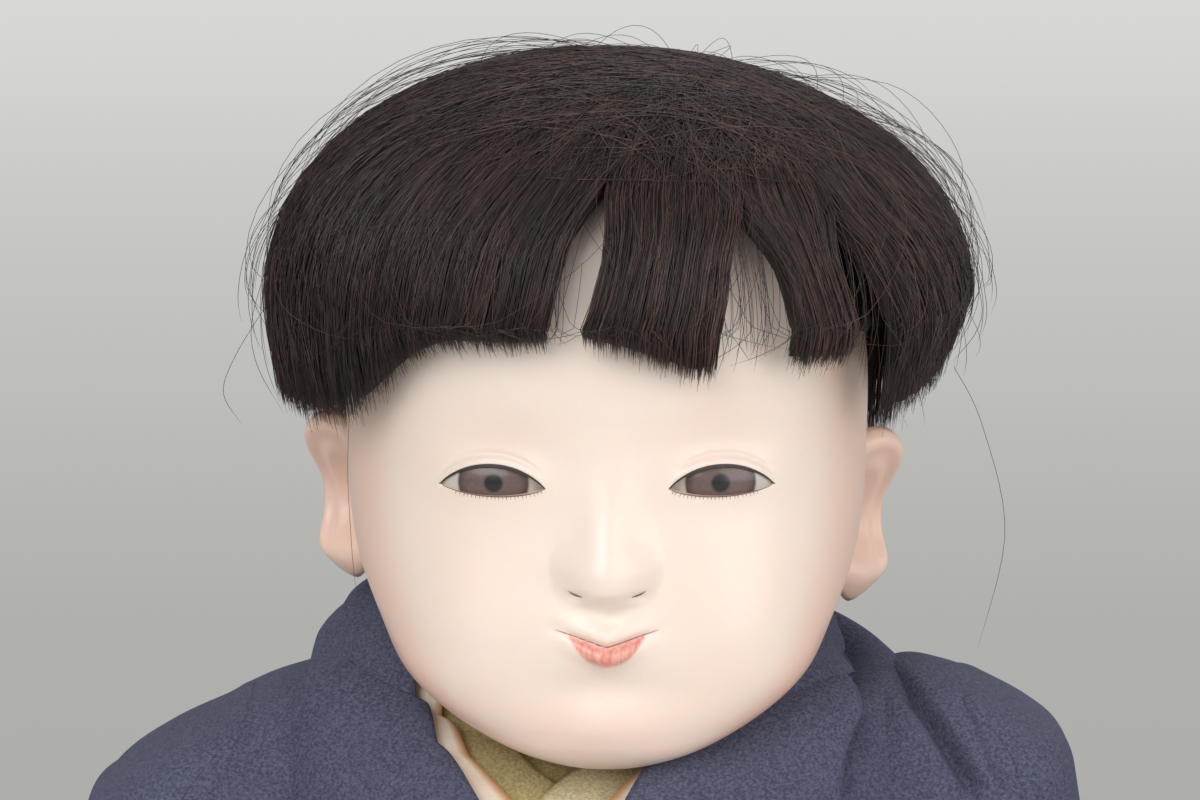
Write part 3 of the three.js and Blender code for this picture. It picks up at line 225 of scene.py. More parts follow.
def edged(count, edge=0.02):
    """Steps from 0 to 1 with one more close to each end, for rounded edges."""
    inside = np.linspace(edge, 1 - edge, count - 2)
    return np.concatenate([[0.0], inside, [1.0]])


# Material helpers

def new_material(name, roughness, **sockets):
    """A material, its nodes and its shader, whose sockets are named with _ for spaces."""
    material = bpy.data.materials.new(name)
    material.use_nodes = True
    tree = material.node_tree
    shader = tree.nodes["Principled BSDF"]
    shader.inputs["Roughness"].default_value = roughness
    for key, value in sockets.items():
        shader.inputs[key.replace("_", " ")].default_value = value
    return material, tree, shader


def add_node(tree, kind, inputs=None, **settings):
    """A node with its settings, and its inputs set to values or linked to sockets."""
    node = tree.nodes.new(kind)
    for key, value in settings.items():
        setattr(node, key, value)
    for key, value in (inputs or {}).items():
        if isinstance(value, bpy.types.NodeSocket):
            tree.links.new(value, node.inputs[key])
        else:
            node.inputs[key].default_value = value
    return node


def rgba(colour, scale=1.0):
    """A colour for a socket, made lighter or darker."""
    return tuple(min(1.0, c * scale) for c in colour) + (1.0,)


def between(a, b, t):
    """A fixed colour part of the way from one to another."""
    return rgba(lerp(np.array(a), np.array(b), t))


def mixed(tree, factor, a, b, kind="MIX"):
    """A colour between two, each a colour or a socket."""
    inputs = {0: factor, 6: a, 7: b}
    return add_node(tree, "ShaderNodeMix", inputs, data_type="RGBA", blend_type=kind).outputs[2]


def maths(tree, operation, a, b):
    return add_node(tree, "ShaderNodeMath", {0: a, 1: b}, operation=operation).outputs[0]


def coloured(tree, shader, colour):
    tree.links.new(colour, shader.inputs["Base Color"])


def ramped(tree, factor, *stops):
    """A ramp of grey values, each stop a place and a value."""
    node = add_node(tree, "ShaderNodeValToRGB", {"Fac": factor})
    elements = node.color_ramp.elements
    while len(elements) < len(stops):
        elements.new(0.5)
    for element, (place, value) in zip(elements, stops):
        element.position = place
        element.color = (value, value, value, 1.0)
    return node.outputs["Color"]


def placed(tree, scale=(1.0, 1.0, 1.0), shift=(0.0, 0.0, 0.0)):
    """Coordinates in the doll's own frame, in metres times a scale."""
    inputs = {"Vector": add_node(tree, "ShaderNodeTexCoord").outputs["Object"],
              "Scale": scale, "Location": shift}
    return add_node(tree, "ShaderNodeMapping", inputs).outputs[0]


def noise(tree, vector, scale, detail=3.0, roughness=0.55):
    inputs = {"Vector": vector, "Scale": scale, "Detail": detail, "Roughness": roughness}
    return add_node(tree, "ShaderNodeTexNoise", inputs).outputs["Fac"]


def bumped(tree, shader, height, distance, strength=1.0):
    node = add_node(tree, "ShaderNodeBump", {"Height": height, "Distance": distance, "Strength": strength})
    tree.links.new(node.outputs["Normal"], shader.inputs["Normal"])


def attribute(tree, name):
    return add_node(tree, "ShaderNodeAttribute", attribute_name=name).outputs["Fac"]


def lacquer_material(name):
    """Satin white shell lacquer with a blush and a painted lower lip."""
    skin = bpy.context.scene.doll_skin
    material, tree, shader = new_material(
        name, skin.roughness, Subsurface_Weight=0.3, Subsurface_Radius=(0.003, 0.0012, 0.0007),
        Subsurface_Scale=0.6, Coat_Weight=0.18, Coat_Roughness=0.22)
    place = placed(tree)
    patches = ramped(tree, noise(tree, place, 55.0, 4.0), (0.38, 0.0), (0.72, 1.0))
    warm = mixed(tree, patches, rgba(skin.lacquer), between(skin.lacquer, skin.blush, 0.16))
    blushed = mixed(tree, attribute(tree, "blush"), warm, rgba(skin.blush))
    lines = ramped(tree, noise(tree, placed(tree, (1.0, 1.0, 0.12)), 1500.0, 2.0), (0.35, 0.0), (0.65, 1.0))
    lip = mixed(tree, lines, rgba(skin.lip), between(skin.lip, skin.blush, 0.65))
    painted = mixed(tree, attribute(tree, "lip"), blushed, lip)
    specks = ramped(tree, noise(tree, place, 900.0, 2.0), (0.74, 0.0), (0.80, 1.0))
    coloured(tree, shader, mixed(tree, maths(tree, "MULTIPLY", specks, 0.10), painted, rgba(skin.blush, 0.6)))
    bumped(tree, shader, noise(tree, place, 420.0, 4.0), 0.00012, 0.35)
    return material


def crepe_material(name, colour, contrast=0.45, depth=0.0003):
    """Crepe with a crinkled grain whose colour follows its height, painted shade in its hollows and painted
    highlight on its ridges, and a soft sheen.
    """
    grain = 1.0 / bpy.context.scene.doll_cloth.grain
    material, tree, shader = new_material(
        name, 0.88, Sheen_Weight=0.04, Sheen_Roughness=0.5, Sheen_Tint=between(colour, np.ones(3), 0.35),
        Specular_IOR_Level=0.2)
    crinkle = noise(tree, placed(tree, (1.0, 1.0, 0.85)), grain, 3.0, 0.6)
    thread = noise(tree, placed(tree, (0.8, 0.8, 1.25)), grain * 1.6, 2.0, 0.5)
    height = maths(tree, "MULTIPLY", maths(tree, "ADD", crinkle, thread), 0.5)
    # The colour follows the grain's height: painted shade in its hollows and painted highlight on its ridges.
    grain_shade = ramped(tree, height, (0.40, 0.0), (0.62, 1.0))
    grain_shaded = mixed(tree, grain_shade, rgba(colour, 1 - contrast), rgba(colour, 1.0 + 0.45 * contrast))
    wear = ramped(tree, noise(tree, placed(tree), 38.0, 4.0), (0.35, 0.86), (0.7, 1.0))
    coloured(tree, shader, mixed(tree, 1.0, grain_shaded, wear, "MULTIPLY"))
    bumped(tree, shader, height, depth, 0.9)
    return material


def silk_material(name, colour, edge, edge_attribute):
    """Smooth silk with fine ribs, painted shade between them, and a tan fold along an edge."""
    material, tree, shader = new_material(name, 0.5, Sheen_Weight=0.3, Sheen_Roughness=0.35)
    ribs = noise(tree, placed(tree, (1.0, 1.0, 6.0)), 420.0, 3.0)
    # The colour follows the ribs' height: painted shade between the ribs.
    woven = mixed(tree, ribs, rgba(colour, 0.9), rgba(colour, 1.05))
    stain = ramped(tree, noise(tree, placed(tree), 120.0, 3.0), (0.4, 0.0), (0.75, 0.35))
    aged = mixed(tree, stain, woven, rgba(edge))
    coloured(tree, shader, mixed(tree, attribute(tree, edge_attribute), aged, rgba(edge)))
    bumped(tree, shader, ribs, 0.00018, 0.6)
    return material


def woven_material(name, colour, pitch=0.0011, depth=0.0002):
    """Plain weave in two directions of thread, darker where the weave is low: painted shade between the
    threads.
    """
    material, tree, shader = new_material(name, 0.85, Sheen_Weight=0.15)
    waves = []
    for scale in ((1.0, 1.0, 0.0), (0.0, 0.0, 1.0)):
        inputs = {"Vector": placed(tree, scale), "Scale": 0.16 / pitch, "Distortion": 1.6, "Detail": 2.0}
        waves.append(add_node(tree, "ShaderNodeTexWave", inputs, wave_type="BANDS",
                              bands_direction="DIAGONAL").outputs["Fac"])
    weave = maths(tree, "MULTIPLY", *waves)
    slubs = noise(tree, placed(tree), 260.0, 4.0)
    # The colour follows the weave's height: painted shade between the threads.
    thread_shaded = mixed(tree, weave, rgba(colour, 0.72), rgba(colour, 1.08))
    coloured(tree, shader, mixed(tree, slubs, thread_shaded, rgba(colour, 0.82)))
    bumped(tree, shader, weave, depth, 0.7)
    return material


# How much lighter the warm strands are, in red, green and blue
WARM_STRAND = (5.0, 4.0, 3.6)


def hair_material(name, colour, roughness=0.36):
    """Dark hair in which some strands are a lighter red-brown."""
    material, tree, shader = new_material(name, roughness, Specular_IOR_Level=0.5)
    patch = noise(tree, placed(tree, (1.0, 1.0, 0.3)), 160.0, 3.0)
    tone = ramped(tree, maths(tree, "MULTIPLY", attribute(tree, "tone"), patch), (0.15, 0.0), (0.62, 1.0))
    warm = rgba([part * lighter for part, lighter in zip(colour, WARM_STRAND)])
    coloured(tree, shader, mixed(tree, tone, rgba(colour), warm))
    return material


def thread_material():
    """Waxed thread, with its twist and painted shade in the twist's grooves."""
    material, tree, shader = new_material("waxed_thread", 0.6)
    twist = noise(tree, placed(tree, (1.0, 1.0, 3.0)), 2400.0, 2.0)
    # The colour follows the twist's height: painted shade in its grooves.
    coloured(tree, shader, mixed(tree, twist, rgba((0.20, 0.15, 0.09)), rgba((0.36, 0.29, 0.19))))
    bumped(tree, shader, twist, 0.0001, 0.6)
    return material


def kept_material(make, name, *args):
    """A material that is made once and then used again."""
    return bpy.data.materials.get(name) or make(name, *args)


def skin_material():
    return kept_material(lacquer_material, "lacquer_skin")


def navy_crepe():
    return kept_material(crepe_material, "kimono_crepe", bpy.context.scene.doll_cloth.navy)


def green_crepe():
    return kept_material(crepe_material, "under_crepe", bpy.context.scene.doll_cloth.green, 0.3)


def sash_weave():
    return kept_material(woven_material, "sash_weave", bpy.context.scene.doll_cloth.sash)


def muslin_weave():
    return kept_material(woven_material, "limb_muslin", bpy.context.scene.doll_cloth.muslin, 0.0008)


# The head: rise above the eyes, half width, front and back of each section
HEAD = np.array([
    (-49.5, 0, -31, -31), (-46.5, 13, -41, -22), (-41, 24, -44, -13), (-34, 32.5, -45, -3),
    (-26, 37.2, -45.2, 14), (-15, 41.6, -44.5, 35), (0, 43.2, -43.5, 46), (20, 42.6, -43.4, 49),
    (40, 35.5, -37, 44), (53, 22, -23, 30), (59.5, 0, 4, 4),
], float)
EYE_HEIGHT = 386.0
# The section at the eyes, and how far back the widest place of a section is
EYE_ROW = 6
EYES_HALF_WIDTH, EYES_FRONT, EYES_BACK = HEAD[EYE_ROW, 1:]
SECTION_MIDDLE = 0.46
FACE_FULLNESS, SKULL_FULLNESS = 2.45, 2.1
HEAD_CENTRE = np.array([0.0, 3.0, EYE_HEIGHT + 14.0])


def head_table():
    """Fine samples up the head: arc length of the profile, rise, half width, front, back."""
    def beyond(pole, near):
        return np.array([near[0], -near[1], 2 * pole[2] - near[2], 2 * pole[3] - near[3]])
    rows = np.vstack([beyond(HEAD[0], HEAD[1]), HEAD, beyond(HEAD[-1], HEAD[-2])])
    samples = along(rows, np.linspace(1, len(HEAD), 4000))
    step = np.linalg.norm(np.diff(samples[:, [0, 1]], axis=0), axis=1)
    return np.column_stack([np.concatenate([[0], np.cumsum(step)]), samples])


HEAD_TABLE = head_table()


def by_arc(arc):
    """Rise, half width, front and back at places up the profile."""
    return [np.interp(arc, HEAD_TABLE[:, 0], HEAD_TABLE[:, i]) for i in range(1, 5)]


def arc_at(rise):
    """Place up the profile at a rise."""
    return np.interp(rise, HEAD_TABLE[:, 1], HEAD_TABLE[:, 0])


# Eyes: inner and outer corner across, their rise, and the lids' reach above and below
EYE = {"inner": 10.0, "outer": 26.7, "corner": -1.15, "above": 3.5, "below": 1.25, "pupil": 18.2}
LID_LEAST = 0.12


def lid_curves(x):
    """Rise of the upper and the lower lid at a place across."""
    middle, half = (EYE["inner"] + EYE["outer"]) / 2, (EYE["outer"] - EYE["inner"]) / 2
    t = np.clip(np.abs((np.abs(x) - middle) / half), 0, 1)
    upper = EYE["corner"] + EYE["above"] * (1 - t ** 2.1) ** 0.85 + LID_LEAST / 2
    lower = EYE["corner"] - EYE["below"] * (1 - t ** 2.2) - LID_LEAST / 2
    return upper, lower


# Mouth: half width, rise of its middle, slope towards its corners and how round it is between
MOUTH_HALF, MOUTH_RISE, MOUTH_SLOPE, MOUTH_ROUND = 8.5, -26.1, 0.34, 0.5


def mouth_line(x):
    """Rise of the line between the lips."""
    return MOUTH_RISE + MOUTH_SLOPE * (np.hypot(np.clip(x, -10, 10), MOUTH_ROUND) - MOUTH_ROUND)


# Nose: rise, how far it stands out, half width of its ridge and of its wings
NOSE = np.array([
    (-21.8, 0, 4.6, 7.6), (-20.4, 0.5, 5.0, 8.2), (-19.2, 2.1, 5.4, 8.7), (-17.4, 4.1, 5.6, 9.2),
    (-15, 4.9, 5.6, 9.4), (-12.6, 4.7, 5.3, 9.2), (-9, 3.6, 5.0, 8.4), (-5, 2.4, 4.8, 7.6),
    (0, 1.4, 4.8, 7.0), (4, 0.7, 5.2, 7.0), (9, 0, 6.0, 7.0),
])
NOSE_TABLE = along(NOSE, np.linspace(0, len(NOSE) - 1, 400))
# Swellings and hollows of the face: how far out, place across and its spread, rise and its spread
SWELLINGS = {
    "brow_hollow": (-1.3, 17.0, 10.0, 5.5, 6.0), "eyeball": (1.3, 18.3, 9.0, 0.4, 4.0),
    "cheek": (2.0, 24.0, 12.0, -24.0, 12.0), "mouth": (1.6, 0.0, 11.0, -25.5, 7.0),
    "under_lip": (-0.9, 0.0, 8.0, -33.2, 2.8), "chin": (1.8, 0.0, 9.0, -40.5, 5.0),
    "nostril": (-0.8, 4.9, 1.3, -18.0, 0.7), "philtrum": (-0.45, 0.0, 1.4, -21.6, 1.9),
}
# Crease of the upper lid: height over the lid, depth, and the swelling below it
LID_FOLD, LID_CREASE, LID_SWELL = 1.75, 0.42, 0.22
# Lips: how far each stands out, its spread across, and its middle and spread above the line of the mouth
UPPER_LIP, LOWER_LIP = (1.0, 5.2, 1.7, 1.7), (1.9, 4.8, -2.0, 1.8)
# The line of the mouth: depth and spread of its groove and of the dimples at its corners
MOUTH_GROOVE, MOUTH_DIMPLE = (-0.75, 0.5), (-0.22, 1.2)
# Lower edge of the painted lip: rise at the middle, rise of its corners above that, half width
LIP_BOTTOM, LIP_LIFT, LIP_HALF = -29.4, 5.0, 6.2


def face_relief(x, z):
    """How far the face stands out from the plain head, across and above the line of the eyes."""
    side = np.abs(x)
    curved = z - 0.03 * np.minimum(side, 9) ** 2 * smooth(-z, 9, 15)
    out, ridge, wing = (np.interp(curved, NOSE_TABLE[:, 0], NOSE_TABLE[:, column]) for column in (1, 2, 3))
    wings = np.clip(1 - (side / wing) ** 2.4, 0, 1) ** 1.25
    nose = out * lerp(bell(x, ridge), wings, 0.55 * smooth(-z, 4, 15))
    soft = sum(far * bell(side - across, spread) * bell(z - rise, height)
               for far, across, spread, rise, height in SWELLINGS.values())
    gap = z - mouth_line(x)
    upper_lip, lower_lip = (far * bell(x, spread) * bell(gap - rise, height)
                            for far, spread, rise, height in (UPPER_LIP, LOWER_LIP))
    upper_lip = upper_lip * smooth(gap, -0.5, 0.4)
    depth, spread = MOUTH_GROOVE
    groove = depth * smooth(-side, -MOUTH_HALF, -MOUTH_HALF + 3.5) * bell(gap, spread)
    depth, spread = MOUTH_DIMPLE
    dimples = depth * bell(side - MOUTH_HALF, spread) * bell(z - mouth_line(MOUTH_HALF), 1.3)
    upper, _ = lid_curves(x)
    fold = upper + LID_FOLD
    within = smooth(side, EYE["inner"] - 0.5, EYE["inner"] + 4)
    within = within * smooth(-side, -EYE["outer"] - 1.5, -EYE["outer"] + 3)
    crease = -LID_CREASE * within * bell(z - fold, 0.42) + LID_SWELL * within * bell(z - fold + 0.9, 0.8)
    return nose + soft + upper_lip + lower_lip + groove + dimples + crease


def head_points(angle, arc):
    """Points of the head at angles from the front, towards the doll's left, and places up its profile."""
    rise, half_width, front, back = by_arc(arc)
    half_width = np.maximum(half_width, 0)
    middle = lerp(front, back, SECTION_MIDDLE)
    sine, cosine = np.sin(np.radians(angle)), np.cos(np.radians(angle))
    ahead = cosine > 0
    round_by = 2 / np.where(ahead, FACE_FULLNESS, SKULL_FULLNESS)
    reach = np.where(ahead, middle - front, back - middle)
    x = half_width * power(sine, round_by)
    forward = face_relief(x, rise) * smooth(cosine, 0.0, 0.4)
    return np.stack([x, middle - reach * power(cosine, round_by) - forward, EYE_HEIGHT + rise], -1)


def angle_at(x, rise):
    """Angle from the front at a place across."""
    _, half_width, _, _ = by_arc(arc_at(rise))
    share = np.clip(np.abs(x) / half_width, 0, 1)
    return np.degrees(np.arcsin(share ** (FACE_FULLNESS / 2))) * np.sign(x)


def on_face(x, rise, lift=0.0):
    """Points of the face straight in front of places across and above the eyes."""
    x, rise = np.broadcast_arrays(np.asarray(x, float), np.asarray(rise, float))
    points = head_points(angle_at(x, rise), arc_at(rise))
    points[..., 1] -= lift
    return points


# Columns of points on half the head: up to the eye, over it, beside it and round the back
NOSE_COLUMNS, EYE_COLUMNS, TEMPLE_COLUMNS, BACK_COLUMNS = 30, 52, 49, 34


def head_columns():
    """Angles round the head, closer over the face, and the columns on the corners of an eye."""
    nose = np.linspace(0, EYE["inner"], NOSE_COLUMNS + 1)[:-1]
    eye = np.linspace(EYE["inner"], EYE["outer"], EYE_COLUMNS + 1)[:-1]
    corner = float(angle_at(EYE["outer"], 0.0))
    half = np.concatenate([
        angle_at(nose, np.zeros_like(nose)), angle_at(eye, np.zeros_like(eye)),
        np.linspace(corner, 90, TEMPLE_COLUMNS + 1)[:-1], np.linspace(90, 180, BACK_COLUMNS),
    ])
    angles = np.concatenate([half, -half[-2:0:-1]])
    return angles, (NOSE_COLUMNS, NOSE_COLUMNS + EYE_COLUMNS)


# Rows of points: below the eyes, between the lids, up to the hairline and over the crown
CHIN_ROWS, LID_ROWS, BROW_ROWS, CROWN_ROWS = 150, 9, 84, 26
HAIRLINE = 30.0
# A place across that is past the eyes
PAST_EYES = 60.0
# The lids turn in behind their edges: how far back, and how much wider
LID_TURNS = ((0.22, 0.012), (0.75, 0.03), (3.2, 0.05))


def rows_between(low, high, count):
    """Even rows after the low one, up to the high one."""
    return [lerp(low, high, t) for t in np.linspace(0, 1, count)[1:]]


def head_skin_grid():
    """Points of the head by rows from the chin up, with rows along the edges of the lids."""
    angles, eye_columns = head_columns()
    flat_x = head_points(angles, np.full_like(angles, arc_at(0.0)))[:, 0]
    x = np.where(np.abs(angles) < 90, flat_x, np.sign(angles) * PAST_EYES)
    upper, lower = lid_curves(x)
    low, high = arc_at(lower), arc_at(upper)
    hair, top = np.full_like(high, arc_at(HAIRLINE)), np.full_like(high, HEAD_TABLE[-1, 0])
    rows = rows_between(0 * low, low, CHIN_ROWS)
    first_lid = len(rows) - 1
    rows += rows_between(low, high, LID_ROWS)
    last_lid = len(rows) - 1
    rows += rows_between(high, hair, BROW_ROWS)
    rows += rows_between(hair, top, CROWN_ROWS)[:-1]
    arcs = np.array(rows)
    points = head_points(np.broadcast_to(angles, arcs.shape), arcs)
    return points, (first_lid, last_lid), eye_columns


def lid_rims(points, lids, eye_columns):
    """For each eye, the loop of grid places round its opening and the faces that it leaves out."""
    rows, columns = points.shape[:2]
    index = np.arange(rows * columns).reshape(rows, columns)
    first, last = lids
    loops = []
    gone = np.zeros((rows - 1, columns), bool)
    for lo, hi in (eye_columns, (columns - eye_columns[1], columns - eye_columns[0])):
        gone[first:last, lo:hi] = True
        loop = np.concatenate([
            index[first, lo:hi + 1], index[first + 1:last, hi],
            index[last, hi:lo - 1:-1], index[last - 1:first:-1, lo],
        ])
        loops.append(loop)
    return loops, gone


def build_head_skin():
    """Points and faces of the head, with rims turned in round the eyes."""
    points, lids, eye_columns = head_skin_grid()
    rows, columns = points.shape[:2]
    loops, gone = lid_rims(points, lids, eye_columns)
    faces = grid_faces(rows, columns, wraps=True).reshape(rows - 1, columns, 4)[~gone]
    flat = points.reshape(-1, 3)
    extra, extra_faces = [], []
    start = len(flat)
    for loop in loops:
        rim = flat[loop]
        middle = rim.mean(0)
        previous = loop
        for back, grow in LID_TURNS:
            ring = rim + (rim - middle) * grow + np.array([0, back, 0])
            place = np.arange(len(ring)) + start
            start += len(ring)
            extra.append(ring)
            extra_faces.append(np.stack([previous, np.roll(previous, -1), np.roll(place, -1), place], -1))
            previous = place
    for row, pole in ((0, HEAD[0]), (rows - 1, HEAD[-1])):
        ring = row * columns + np.arange(columns)
        extra.append(np.array([[0.0, pole[2], EYE_HEIGHT + pole[0]]]))
        tip = np.full(columns, start)
        start += 1
        extra_faces.append(np.stack([ring, np.roll(ring, -1), tip, tip], -1))
    return np.concatenate([flat] + extra), np.concatenate([faces] + extra_faces)


def face_colours(points):
    """Blush and lip paint at each point of the head."""
    x, z = points[:, 0], points[:, 2] - EYE_HEIGHT
    front = smooth(-points[:, 1], -5, 25)
    half_width = np.interp(z, HEAD_TABLE[:, 1], HEAD_TABLE[:, 2])
    edge = smooth(np.abs(x) / np.maximum(half_width, 1), 0.72, 1.0)
    jaw = smooth(-z, 24, 46)
    cheeks = bell(np.abs(x) - 25, 13) * bell(z + 22, 13)
    lids = bell(np.abs(x) - 18, 11) * bell(z - 6, 6)
    blush = np.clip(0.04 + 0.75 * edge + 0.35 * jaw + 0.10 * cheeks + 0.16 * lids, 0, 1)
    blush = blush * lerp(0.6, 1.0, front)
    gap = z - mouth_line(x)
    bottom = LIP_BOTTOM + LIP_LIFT * (np.abs(x) / LIP_HALF) ** 2.3
    lip = smooth(-gap, -0.1, 0.3) * smooth(z - bottom, -0.3, 0.5) * smooth(-np.abs(x), -6.9, -6.0)
    upper = 0.3 * bell(gap - 0.2, 0.4) * smooth(-np.abs(x), -7.5, -3)
    return blush, np.clip(np.maximum(lip, upper) * front, 0, 1)


def set_attribute(mesh, name, values):
    """Keeps a value for each point, for the materials to read."""
    layer = mesh.attributes.new(name, "FLOAT", "POINT")
    layer.data.foreach_set("value", np.asarray(values, np.float32))


# Ears: size and lean, then where each stands, since they differ
EAR = {"depth": 15.5, "flare": 40.0, "lean": 8.0, "y": 4.5, "top_out": 10.0, "lobe_out": 3.4}
EAR_BLUSH = 0.62
# How far the parts of an ear stand out of its flat front, and how thick it is behind
EAR_RELIEF = {"front": 1.5, "rim": 1.9, "inner_rim": 0.66, "hollow": -2.6, "lobe": 1.9, "flap": 1.17}
EAR_BEHIND, EAR_LOBE_BEHIND = 1.2, 0.9
EAR_ACROSS = {"left": 40.4, "right": 41.6}
EAR_HEIGHT = {"left": 31.0, "right": 29.5}
EAR_RISE = {"left": -13.6, "right": -10.2}


def ear_points(side, sign):
    """A closed ear: a dished front with a rolled rim, and a plain back."""
    turns, rings = 72, 22
    turn = np.linspace(0, 2 * np.pi, turns, endpoint=False)
    share = np.linspace(0, 1, rings)[:, None]
    up, back = power(np.sin(turn), 0.88), power(np.cos(turn), 0.82)
    narrow = np.where(up < 0, 1 - 0.3 * np.abs(up) ** 1.6, 1 - 0.08 * up ** 2)
    high = EAR_HEIGHT[side] / 2 * up * share
    deep = EAR["depth"] / 2 * (back * narrow - 0.10 * np.abs(np.minimum(up, 0)) ** 1.5) * share
    lobe = bell(np.hypot(deep + 1.0, high + 10.6), 4.6)
    parts = {
        "front": 1.0,
        "rim": bell(share - 0.86, 0.13) * smooth(up * 0.6 + back * 0.55, -0.55, 0.1),
        "inner_rim": bell(share - 0.52, 0.12) * smooth(back + 0.3 * up, -0.1, 0.6),
        "hollow": bell(np.hypot(deep + 1.4, (high - 0.5) * 0.62), 4.2),
        "lobe": lobe,
        "flap": bell(np.hypot(deep + 5.2, high - 0.2), 1.7),
    }
    edge = np.sqrt(np.clip(1 - share ** 4, 0, 1))
    out = edge * sum(EAR_RELIEF[part] * shape for part, shape in parts.items())
    front = np.stack([out, deep, high], -1)
    rear = np.stack([-edge * (EAR_BEHIND + EAR_LOBE_BEHIND * lobe), deep, high], -1)[::-1][1:]
    grid = np.concatenate([front, rear])
    behind = (grid[..., 1] + EAR["depth"] / 2) / EAR["depth"]
    grid[..., 0] += lerp(0.3, 1.0, behind) * EAR["top_out"] * smooth(grid[..., 2], -2, 14.5)
    grid[..., 0] += behind * EAR["lobe_out"] * bell(grid[..., 2] + 10.5, 4.2)
    flare = Matrix.Rotation(math.radians(-EAR["flare"]), 3, "Z")
    lean = Matrix.Rotation(math.radians(EAR["lean"]), 3, "X")
    grid = grid @ np.array(flare @ lean).T
    grid += np.array([EAR_ACROSS[side], EAR["y"], EYE_HEIGHT + EAR_RISE[side]])
    grid[..., 0] *= sign
    return grid.reshape(-1, 3), grid_faces(len(grid), turns, wraps=True)


# Painted lines, the one between the lips partly painted shade: width, share of it at the ends, and lift off
# the skin
LID_LINE, LASH_LINE, LIP_LINE = (0.44, 0.3, 0.1), (0.17, 0.3, 0.08), (0.2, 0.15, 0.14)
# Nostrils, dark strokes of painted shade in their openings: places across and above the eyes, the stroke's
# width at each, and its lift
NOSTRIL = ((6.2, -17.1), (5.5, -17.6), (4.7, -17.9), (4.0, -17.95))
NOSTRIL_WIDTHS, NOSTRIL_LIFT = (0.06, 0.2, 0.24, 0.08), 0.2
# Lower lashes: widths along each, its lift, and the step between them
LASH_WIDTHS, LASH_LIFT, LASH_STEP = (0.09, 0.085, 0.07, 0.04), 0.08, 0.62


def strip(line, widths, lift):
    """A painted stroke on the face along places across and above the eyes."""
    line = np.asarray(line, float)
    tangent = np.gradient(line, axis=0)
    tangent /= np.linalg.norm(tangent, axis=1, keepdims=True) + 1e-9
    normal = np.stack([-tangent[:, 1], tangent[:, 0]], -1)
    half = np.asarray(widths)[:, None] / 2
    sides = [line + normal * half, line - normal * half]
    return np.stack([on_face(s[:, 0], s[:, 1], lift) for s in sides], 1)


def join_strips(strips):
    """Points and faces of several strokes as one mesh."""
    points, faces, start = [], [], 0
    for grid in strips:
        rows, columns = grid.shape[:2]
        points.append(grid.reshape(-1, 3))
        faces.append(grid_faces(rows, columns) + start)
        start += rows * columns
    return np.concatenate(points), np.concatenate(faces)


def tapered(line, width, ends, lift):
    """A stroke that is thinner at its ends."""
    t = np.linspace(-1, 1, len(line))
    return strip(line, width * (ends + (1 - ends) * np.sqrt(np.clip(1 - t ** 2, 0, 1))), lift)


def painted_strokes():
    """Upper lid lines, and nostrils as dark strokes of painted shade."""
    strokes = []
    for _, sign in SIDES:
        x = np.linspace(EYE["inner"] - 0.1, EYE["outer"] + 0.3, 44)
        upper, _ = lid_curves(x)
        outer_tail = np.clip(x - EYE["outer"], 0, None) * -0.25
        line = np.stack([sign * x, upper + 0.05 + outer_tail], -1)
        strokes.append(tapered(line, *LID_LINE))
        nostril = [(sign * across, rise) for across, rise in NOSTRIL]
        strokes.append(strip(nostril, NOSTRIL_WIDTHS, NOSTRIL_LIFT))
    return join_strips(strokes)


def lower_lashes():
    """A fine line along each lower lid, with short lashes below it."""
    rng = np.random.default_rng(4)
    strokes = []
    for _, sign in SIDES:
        x = np.linspace(EYE["inner"] + 0.3, EYE["outer"] - 0.3, 40)
        _, lower = lid_curves(x)
        line = np.stack([sign * x, lower - 0.05], -1)
        strokes.append(tapered(line, *LASH_LINE))
        for lash in np.arange(EYE["inner"] + 0.5, EYE["outer"] - 2.5, LASH_STEP):
            at = lash + rng.uniform(-0.08, 0.08)
            _, low = lid_curves(at)
            lean = (at - EYE["pupil"]) * 0.03 + rng.uniform(-0.05, 0.05)
            length = rng.uniform(0.36, 0.52)
            steps = np.linspace(0, 1, len(LASH_WIDTHS))
            line = [(sign * (at + lean * t), low - 0.12 - length * t) for t in steps]
            strokes.append(strip(line, LASH_WIDTHS, LASH_LIFT))
    return join_strips(strokes)


def mouth_strokes():
    """A fine dark red line between the lips, thinner at its ends: partly paint and partly painted shade in
    the crease and at the corners.
    """
    x = np.linspace(-MOUTH_HALF + 0.2, MOUTH_HALF - 0.2, 60)
    line = np.stack([x, mouth_line(x)], -1)
    return join_strips([tapered(line, *LIP_LINE)])


LASH_BROWN = (0.16, 0.075, 0.055)
# How dark the line between the lips is against the lip paint; partly painted shade.
LIP_LINE_SHADE = 0.45


def stroke_material(name, colour):
    """Brushed paint, a little worn; it also gives the strokes of painted shade at the nostrils and between
    the lips.
    """
    material, tree, shader = new_material(name, 0.45)
    worn = ramped(tree, noise(tree, placed(tree), 1500.0, 3.0), (0.4, 0.0), (0.8, 0.5))
    coloured(tree, shader, mixed(tree, worn, rgba(colour), rgba(colour, 3.0)))
    return material


def give_material(node, material):
    """Gives a solid that stays in sight its material."""
    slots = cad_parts[node].data.materials
    slots.clear()
    slots.append(material)


